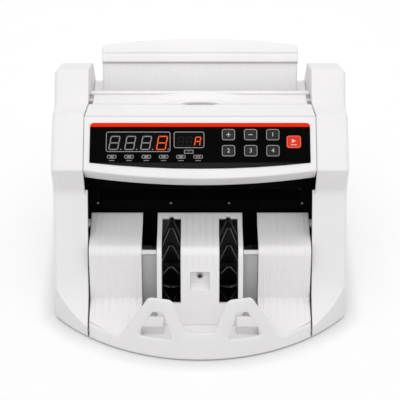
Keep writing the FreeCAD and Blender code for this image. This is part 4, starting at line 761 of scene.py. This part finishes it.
PLUS = [plus_outline(1.7, 0.28)]
MINUS = [plain_box(-1.6, 1.6, -0.3, 0.3)]
PLAY = [[(-1.6, -1.2), (1.9, 0.6), (-1.6, 2.4)], plain_box(-2.4, 2.4, -2.9, -2.2)]
UPPER_ROW = 8.2
LOWER_ROW = -5.4
KEY_COLUMNS = (23.1, 41.1, 59.1)
KEY_MARKS = []
for row, up, marks in (("upper", UPPER_ROW, (PLUS, MINUS, "1")), ("lower", LOWER_ROW, "234")):
    for column, mark in enumerate(marks):
        KEY_MARKS.append((f"key_{row}_{column + 1}", KEY_COLUMNS[column], up, mark))
KEY_MARKS.append(("red_key", 76.1, 2.2, PLAY))
for name, across, up, mark in KEY_MARKS:
    wide, tall = RED_HALF if name == "red_key" else KEY_HALF
    edge_ink = red_ink if name == "red_key" else legend_ink
    top = top_of(name)
    edge = outlined_box(*box_about(across, up, wide - KEY_INSET, tall - KEY_INSET), KEY_RADIUS, KEY_LINE,
                        top - INK, top + INK)
    lay = figure_on_key if isinstance(mark, str) else bars_on_key
    keep(mesh_piece(name + "_edge", *edge, edge_ink), name)
    keep(mesh_piece(name + "_mark", *lay(mark, across, up, top), mark_ink), name)
print("keys marked:", len(KEY_MARKS))

# %% [markdown]
# The note plates are ribbed so that a note doesn't cling to them. A rib could be cut into the
# plate, but the plates are fixed shapes here. Instead one rib is traced over the plate with rays,
# lifted a quarter of a millimetre, and repeated across the plate.

# %% Ribs on the plates
RIB_PITCH = 5.6
RIB_HALF = 0.4
RIB_RISE = 0.26
RIB_SINK = 0.1
DOWN = (0, 0, -1)
BACKWARD = (0, 1, 0)
FORWARD = (0, -1, 0)
FRONT = -150
REAR = 150


def surface_of(node):
    mesh = nodes[node].data
    return BVHTree.FromPolygons([corner.co for corner in mesh.vertices],
                                [list(face.vertices) for face in mesh.polygons])


def traced(tree, starts, direction):
    found = []
    for start in starts:
        place, normal, _, _ = tree.ray_cast(Vector(start) * MM, Vector(direction))
        if place is not None:
            found.append((place, normal if normal.dot(Vector(direction)) < 0 else -normal))
    return found


def rib_shape(path, half, rise):
    side = Vector((half, 0, 0)) * MM
    rings = []
    for place, normal in path:
        crown = place + normal * rise * MM
        root = place - normal * RIB_SINK * MM
        rings.append([place - side, crown, place + side, root])
    return joined_rings(rings)


def plate_rib(node, across, floor_front=None):
    """A rib over the shelf and down the wall, and on to the floor where floor_front is given."""
    tree = surface_of(node)
    shelf = [(across, depth, 100) for depth in (-13.5, -20, -28.5, -36, -44, -50, -53, -56)]
    wall = [(across, FRONT, height) for height in (65, 62, 57, 53)]
    path = traced(tree, shelf, DOWN) + traced(tree, wall, BACKWARD)
    if floor_front:
        foot = [(across, FRONT, height) for height in (48, 41, 34, 26)]
        floor = [(across, depth, 60) for depth in (-68, -74, -80, floor_front)]
        path += traced(tree, foot, BACKWARD) + traced(tree, floor, DOWN)
    return rib_shape(path, RIB_HALF, RIB_RISE)


SIDE_RIBS = 7
CENTRE_RIBS = 5
FLOOR_FRONT = -86
rib_shapes = {
    "right": (plate_rib("stacker_plate_right", 53, FLOOR_FRONT), SIDE_RIBS),
    "left": (plate_rib("stacker_plate_left", -86.6, FLOOR_FRONT), SIDE_RIBS),
    "centre": (plate_rib("stacker_plate_centre", -11.2), CENTRE_RIBS),
}
for side, (shape, count) in rib_shapes.items():
    # The rib finish is coloured lighter than the shell, as painted light that softens the ribs' shade.
    repeat(f"plate_ribs_{side}", shape, count, rib_plastic, "machine", pitch=RIB_PITCH)
print("rib pitch, mm:", RIB_PITCH)

# %% [markdown]
# The hopper flap carries finer ribs below its lip. They are traced on the leaning face and ride
# on the flap, so they fold back with it.

# %% Ribs on the hopper flap
FLAP_RIBS = 27
FLAP_RIB_PITCH = 6
FLAP_RIB_HALF = 0.7
FLAP_RIB_RISE = 0.1
flap_starts = [(-78, 0, height) for height in (144, 150, 156, 162)]
flap_path = traced(surface_of("hopper_flap"), flap_starts, BACKWARD)
# The flap ribs take the flap's lighter white, which is painted light.
repeat("flap_ribs", rib_shape(flap_path, FLAP_RIB_HALF, FLAP_RIB_RISE), FLAP_RIBS, flap_rib_plastic,
       "hopper_flap", pitch=FLAP_RIB_PITCH)
print("flap rib points:", len(flap_path))

# %% [markdown]
# The rear of the hopper cover swells into a low crest in the middle, which keeps the notes clear of
# the bar. It is a skin over rings that swell and sink smoothly from side to side, and it rides on
# the cover.

# %% Crest of the hopper cover
CREST_HALF = 46
CREST_RISE = 3.9
CREST_TUCK = 0.05
CREST_SINK = 0.3
CREST_SECTION = ((23.5, 0.0), (26, 0.1), (28.5, 0.38), (31, 0.75), (32.8, 0.96), (34, 1.0),
                 (35.2, 0.9), (36.2, 0.5), (36.7, 0.0))
CREST_STEPS = 24
FLAT_PLACE = 30
cover_face = surface_of("hopper_cover")


def crest_shape():
    """Rings of points across the cover: each runs over the crest and back below the plate."""
    rings = []
    for step in range(CREST_STEPS + 1):
        across = CREST_HALF * (2 * step / CREST_STEPS - 1)
        swell = math.cos(math.pi * across / (2 * CREST_HALF)) ** 2
        over = []
        under = []
        for depth, share in CREST_SECTION:
            foot = traced(cover_face, [(FLAT_PLACE, depth, 170)], DOWN)[0][0].z / MM
            over.append(Vector((across, depth, foot - CREST_TUCK + CREST_RISE * swell * share)) * MM)
            under.append(Vector((across, depth, foot - CREST_SINK)) * MM)
        rings.append(over + under[::-1])
    return joined_rings(rings)


# The crest takes the rib finish, coloured lighter than the shell as painted light.
crest = mesh_piece("cover_crest", *crest_shape(), rib_plastic)
for face in crest.data.polygons:
    face.use_smooth = len(face.vertices) == 4
keep(crest, "hopper_cover")
print("crest rise, mm:", CREST_RISE)

# %% [markdown]
# Each wheel throws the notes down with twelve pointed rubber vanes. The moulding leaves a glossy
# bead along the slanted edges, which catches the light as a thin line. The bead is also coloured
# grey, far lighter than the black vanes, as a painted highlight. One bead follows the edge of one
# vane, and the same tree turns it round the wheel.

# %% Beads on the vanes
WHEEL = Vector((0, -38, 41)) * MM
WHEEL_OFFSET = 23.7
VANE_COUNT = 12
VANE_EDGE = ((7.1, -18.9, 14.6), (1.5, -18.9, 28.5), (-1.5, -18.9, 28.5), (-7.1, -18.9, 14.6))
BEAD_RADIUS = 0.3
# Painted highlight: the bead is grey, far lighter than the black vane rubber, and its gloss is real.
vane_gloss_painted_highlight = finish("vane_gloss_painted_highlight", (0.11, 0.11, 0.112), (0.07, 0.07, 0.072), 0.2, grain=1600,
                    bump=0.03, specular=0.9)


def bead(path, radius, sides=6):
    upright = Vector((0, 1, 0))
    rings = []
    for step, place in enumerate(path):
        before = Vector(path[max(step - 1, 0)])
        after = Vector(path[min(step + 1, len(path) - 1)])
        across = (after - before).normalized().cross(upright)
        angles = [math.tau * side / sides for side in range(sides)]
        arms = [across * math.cos(angle) + upright * math.sin(angle) for angle in angles]
        rings.append([(Vector(place) + arm * radius) * MM for arm in arms])
    return joined_rings(rings)


for side, sign in (("right", 1), ("left", -1)):
    centre = WHEEL + Vector((sign * WHEEL_OFFSET, 0, 0)) * MM
    repeat(f"vane_beads_{side}", bead(VANE_EDGE, BEAD_RADIUS), VANE_COUNT, vane_gloss_painted_highlight,
           "impeller", start=centre, turn=(math.tau / VANE_COUNT, 0, 0))
print("vanes beaded:", 2 * VANE_COUNT)

# %% [markdown]
# Four small bright rivets hold the exit guide. A rivet head is a turned shape, so a profile is
# spun about its axis and the head is repeated.

# %% Rivets


def turned(profile, axis_place, steps=14):
    rings = []
    for radius, depth in profile:
        rings.append([axis_place + Vector((x, depth, z)) * MM for x, z in disc(0, 0, radius, steps)])
    return joined_rings(rings)


RIVET = ((1.05, 0.2), (1.05, -0.2), (0.8, -0.45), (0.45, -0.6), (0.15, -0.63))
FIRST_RIVET = (-86, FRONT, 80.7)
RIVET_PAIRS = (("outer", 0, 172), ("inner", 61.5, 49))
rivet_steel = finish("rivet_steel", (0.3, 0.3, 0.31), (0.2, 0.2, 0.21), 0.35, metal=1.0)
rivet_seat = traced(surface_of("exit_guide"), [FIRST_RIVET], BACKWARD)[0][0]
for pair, shift, apart in RIVET_PAIRS:
    head = turned(RIVET, rivet_seat + Vector((shift, 0, 0)) * MM)
    repeat(f"guide_rivets_{pair}", head, 2, rivet_steel, "machine", pitch=apart)
print("rivets at depth, mm:", round(rivet_seat.y / MM, 2))

# %% [markdown]
# A sensor in the centre plate sees whether notes lie in the stacker. Its lens is a small dark dome
# inside the bright rim, spun like the rivets.

# %% Sensor lens
sensor_low, sensor_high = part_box("stacker_sensor")
sensor_axis = Vector((0, sensor_low.y, (sensor_low.z + sensor_high.z) / 2))
LENS = ((1.3, 1.6), (1.3, 0.9), (1.1, 0.4), (0.7, 0.15), (0.2, 0.06))
sensor_lens = finish("sensor_lens", (0.012, 0.01, 0.012), (0.006, 0.005, 0.006), 0.12,
                     bump=0.01, specular=0.3)
lens = mesh_piece("sensor_lens", *turned(LENS, sensor_axis, 20), sensor_lens)
keep(lens, "machine")
print("sensor lens at, mm:", round(sensor_axis.y / MM, 2), round(sensor_axis.z / MM, 2))

# %% [markdown]
# Behind, the mains inlet has three flat pins and the case screws have cross recesses. Small
# prisms that face backwards make both.

# %% Pins and screw recesses
PIN_LENGTH = 14.1
PIN_START = 0.1
PIN_RADIUS = 0.4
BLADE_PIN = (54.1, 56.15, 31.9, 36.1)
BLADE_PITCH = 13.75
EARTH_PIN = (61, 63, 35.9, 40.1)
SCREW_LEFT = -84.5
SCREW_PITCH = 169
SCREW_HEIGHTS = (16, 116)
RECESS_FLOOR = -0.3
RECESS_TOP = 0.03
CROSS = plus_outline(1.7, 0.4)


def facing_back(depth, centre=Vector(STILL)):
    def put(across, up, out):
        return centre + Vector((across, depth + out, up)) * MM
    return put


pin_floor = traced(surface_of("power_inlet"), [(58, REAR, 30)], FORWARD)[0][0].y / MM
blade, earth = [prisms([rounded_box(*box, PIN_RADIUS)], PIN_START, PIN_LENGTH, facing_back(pin_floor))
                for box in (BLADE_PIN, EARTH_PIN)]
repeat("inlet_pins", blade, 2, bright_steel, "machine", pitch=BLADE_PITCH)
keep(mesh_piece("inlet_earth_pin", *earth, bright_steel), "machine")
screw_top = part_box("case_screws")[1].y / MM
for height in SCREW_HEIGHTS:
    outline = [(SCREW_LEFT + x, height + z) for x, z in CROSS]
    cross = prisms([outline], RECESS_FLOOR, RECESS_TOP, facing_back(screw_top))
    repeat(f"screw_recess_{height}", cross, 2, black_plastic, "machine", pitch=SCREW_PITCH)
print("inlet floor at, mm:", round(pin_floor, 2))

# %% [markdown]
# The gap knob needs a grip and a pointer, and a scale of plain ticks around it. The ridges and the
# ticks are one bar each, turned about the knob's own axis by the same tree.

# %% Knob ridges and scale
KNOB = Vector((40, 0, 104)) * MM
RIDGE = [(-0.5, 8.85), (0.5, 8.85), (0.25, 9.4), (-0.25, 9.4)]
RIDGE_COUNT = 24
RIDGE_FRONT = 1.5
RIDGE_BACK = 1.2
POINTER = plain_box(-0.4, 0.4, 2, 8)
TICK = plain_box(-0.35, 0.35, 11.5, 14)
TICK_COUNT = 11
TICK_TURN = math.radians(30)
MARK_SINK = 0.1
knob_low, knob_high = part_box("gap_knob")
cover_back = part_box("rear_cover")[1].y / MM
ridge = prisms([RIDGE], knob_low.y / MM + RIDGE_FRONT, knob_high.y / MM - RIDGE_BACK, facing_back(0))
repeat("knob_ridges", ridge, RIDGE_COUNT, black_plastic, "gap_knob",
       start=KNOB, turn=(0, math.tau / RIDGE_COUNT, 0))
pointer = prisms([POINTER], -MARK_SINK, 0.0, facing_back(knob_high.y / MM, KNOB))
keep(mesh_piece("knob_pointer", *pointer, mark_ink), "gap_knob")
tick = prisms([TICK], -MARK_SINK, INK, facing_back(cover_back))
repeat("knob_scale", tick, TICK_COUNT, key_plastic, "machine",
       start=KNOB, turn=(0, TICK_TURN, 0))
print("knob scale ticks:", TICK_COUNT)

# %% [markdown]
# The mains rocker shows the usual bar and ring for on and off. They lie on the two slopes of the
# rocker, so each mark finds its own height by a ray from behind.

# %% Rocker marks
ON_BAR = plain_box(21.6, 22.4, 39.4, 43.4)
OFF_CENTRE = (22, 30.6)
OFF_RADII = (2.0, 1.3)
rocker = surface_of("switch_rocker")


def on_rocker(across, up, out):
    place, normal = traced(rocker, [(across, REAR, up)], FORWARD)[0]
    return place + normal * out * MM


on_bar = prisms([ON_BAR], -INK, INK, on_rocker)
off_ring = ring_prism(*[disc(*OFF_CENTRE, radius, 20) for radius in OFF_RADII], -INK, INK, on_rocker)
keep(mesh_piece("rocker_marks", *together(on_bar, off_ring), mark_ink), "switch_rocker")
print("rocker marks: 2")

# %% [markdown]
# The fence at the front of the tray has softly rounded edges, which catch the light as a thin
# line. The tray is shown by a copy of the model's own mesh, merged into whole faces, with the
# outward edges of the fence bevelled. It takes the place of the plain tray. Its floor below the
# wheels is coloured near black as painted shade.

# %% Rounded edges of the fence
FENCE_BACK = -58 * MM
FENCE_FOOT = 6 * MM
FENCE_ROUND = 0.9 * MM
SHARP = math.radians(38)
FLAT = math.radians(0.4)
SAME_PLACE = 1e-6
# Painted shade: the tray floor is coloured near black below each wheel and fades back to white around it.
PAINTED_SHADE_BLACK = (0.008, 0.008, 0.008)
PAINTED_SHADE_CENTRE = Vector((WHEEL_OFFSET, 40, 5.5)) * MM
PAINTED_SHADE_FULL = 13 * MM
PAINTED_SHADE_END = 22 * MM


def on_fence(edge):
    low = min(corner.co.z for corner in edge.verts)
    back = max(corner.co.y for corner in edge.verts)
    return low > FENCE_FOOT and back < FENCE_BACK


def rounded_copy(name, node, offset, chosen):
    piece = new_object(name, nodes[node].data.copy())
    work = bmesh.new()
    work.from_mesh(piece.data)
    bmesh.ops.remove_doubles(work, verts=work.verts, dist=SAME_PLACE)
    bmesh.ops.dissolve_limit(work, angle_limit=FLAT, verts=work.verts, edges=work.edges)
    edges = [edge for edge in work.edges
             if edge.is_manifold and edge.calc_face_angle_signed() > SHARP and chosen(edge)]
    bmesh.ops.bevel(work, geom=edges, offset=offset, segments=3, profile=0.5, affect="EDGES",
                    clamp_overlap=False)
    bmesh.ops.triangulate(work, faces=work.faces)
    work.to_mesh(piece.data)
    open_edges = sum(not edge.is_manifold for edge in work.edges)
    work.free()
    print(name, "edges rounded:", len(edges), "open edges:", open_edges)
    return piece


# The tray finish, with painted shade below the wheels.
def painted_shade_tray_finish():
    material = finish("tray_plastic", *SHELL_WHITE, edge=SHELL_EDGE, **SHELL)
    tree = material.node_tree
    colour = tree.nodes["Principled BSDF"].inputs["Base Color"]
    unshaded_colour = colour.links[0].from_socket
    place = tree.nodes.new("ShaderNodeTexCoord")
    mirrored = vector_step(tree, "ABSOLUTE", place.outputs["Object"])
    away = vector_step(tree, "DISTANCE", mirrored.outputs["Vector"], PAINTED_SHADE_CENTRE)
    painted_shade = spread(tree, away.outputs["Value"], 1.0, 0.0, PAINTED_SHADE_FULL, PAINTED_SHADE_END)
    link(tree, blend_colours(tree, painted_shade, unshaded_colour, PAINTED_SHADE_BLACK), colour)
    return material


tray = rounded_copy("base_tray_rounded", "base_tray", FENCE_ROUND, on_fence)
tray.data.materials[0] = painted_shade_tray_finish()
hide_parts("base_tray")
keep(tray, "machine")

# %% [markdown]
# The photograph was taken in even studio light on white. A plain floor takes the contact shadow.
# Its finish adds a little light for the camera and for reflections, so that it reads as white
# without more light falling on the machine. The added light fades out close to the machine, where
# less of the studio reaches the floor.

# %% Floor
FLOOR_LIFT = 0.255
SHADOW_REACH = 18 * MM
SHADOW_DEPTH = 2.5
SHADOW_SAMPLES = 12
HALF_FLOOR = 6


def seen_directly(tree):
    """One for rays from the camera and for those that a mirror or glass sends on, or else zero."""
    path = tree.nodes.new("ShaderNodeLightPath")
    seen = calculate(tree, "MAXIMUM", path.outputs["Is Camera Ray"], path.outputs["Is Glossy Ray"])
    return calculate(tree, "MAXIMUM", seen, path.outputs["Is Transmission Ray"])


def floor_finish():
    material, tree, surface = new_finish("studio_floor")
    tone = blend_colours(tree, grain_of(tree, 30, 2), (0.73, 0.73, 0.73), (0.75, 0.75, 0.75))
    link(tree, tone, surface.inputs["Base Color"])
    surface.inputs["Roughness"].default_value = 0.9
    surface.inputs["Specular IOR Level"].default_value = 0.0
    surface.inputs["Emission Color"].default_value = (1, 1, 1, 1)
    nook = tree.nodes.new("ShaderNodeAmbientOcclusion")
    nook.samples = SHADOW_SAMPLES
    nook.inputs["Distance"].default_value = SHADOW_REACH
    clear = calculate(tree, "POWER", nook.outputs["AO"], SHADOW_DEPTH)
    lift = calculate(tree, "MULTIPLY", calculate(tree, "MULTIPLY", seen_directly(tree), FLOOR_LIFT), clear)
    link(tree, lift, surface.inputs["Emission Strength"])
    return material


floor_points = [(x, y, 0) for x, y in plain_box(-HALF_FLOOR, HALF_FLOOR, -HALF_FLOOR, HALF_FLOOR)]
floor = mesh_piece("studio_floor", floor_points, [(0, 1, 2, 3)], floor_finish())
print("floor half width, m:", HALF_FLOOR)

# %% [markdown]
# The world is the main lamp: a pale dome, brighter overhead than at the horizon. What the camera
# and reflections see of it is plain white. Two wide lamps add some light from above and from the
# front, and a narrow one fills the hopper.

# %% World and lamps
DOME_TOP = 1.04
DOME_SIDE = 0.86
SPOT_SIZE = 0.12


def studio_world():
    world = bpy.data.worlds.new("studio")
    world.use_nodes = True
    tree = world.node_tree
    tree.nodes.clear()
    place = tree.nodes.new("ShaderNodeTexCoord")
    split = tree.nodes.new("ShaderNodeSeparateXYZ")
    link(tree, place.outputs["Generated"], split.inputs[0])
    dome = tree.nodes.new("ShaderNodeBackground")
    level = spread(tree, split.outputs["Z"], DOME_SIDE, DOME_TOP, 0.0, 1.0)
    link(tree, level, dome.inputs["Strength"])
    white = tree.nodes.new("ShaderNodeBackground")
    white.inputs["Color"].default_value = (1, 1, 1, 1)
    mix = tree.nodes.new("ShaderNodeMixShader")
    link(tree, seen_directly(tree), mix.inputs[0])
    link(tree, dome.outputs[0], mix.inputs[1])
    link(tree, white.outputs[0], mix.inputs[2])
    result = tree.nodes.new("ShaderNodeOutputWorld")
    link(tree, mix.outputs[0], result.inputs["Surface"])
    return world


def hang(name, kind, power, place, target=STILL):
    """A lamp at a place, turned towards its target."""
    lamp = bpy.data.lights.new(name, kind)
    lamp.energy = power
    holder = new_object(name, lamp)
    holder.location = place
    holder.rotation_euler = (Vector(target) - Vector(place)).to_track_quat("-Z", "Y").to_euler()
    return lamp


scene = bpy.context.scene
scene.world = studio_world()
overhead_lamp = hang("overhead_lamp", "SUN", power=0.27, place=(0, -0.1, 1.9))
overhead_lamp.angle = math.radians(60)
front_lamp = hang("front_lamp", "SUN", power=0.5, place=(0, -1.2, 1.7))
front_lamp.angle = math.radians(50)
hopper_lamp = hang("hopper_lamp", "SPOT", power=4.6, place=(0, -0.45, 0.85), target=(0, 0.13, 0.17))
hopper_lamp.spot_size = math.radians(20)
hopper_lamp.spot_blend = 1.0
hopper_lamp.shadow_soft_size = SPOT_SIZE
scene.view_settings.view_transform = "Standard"
print("dome levels:", DOME_SIDE, DOME_TOP)

# %% [markdown]
# The camera stands in front and above, with a long lens, where the machine's sides stay almost
# parallel.

# %% Camera
CAMERA_PLACE = (0, -1.0672, 0.7705)
CAMERA_TILT = math.radians(57)
camera = bpy.data.cameras.new("studio_camera")
camera.lens = 135
camera.sensor_width = 36
holder = new_object("studio_camera", camera)
holder.location = CAMERA_PLACE
holder.rotation_euler = (CAMERA_TILT, 0, 0)
scene.camera = holder
print("camera lens, mm:", camera.lens)

# %% [markdown]
# Last, the view layer is updated.

# %% Update the view layer
bpy.context.view_layer.update()
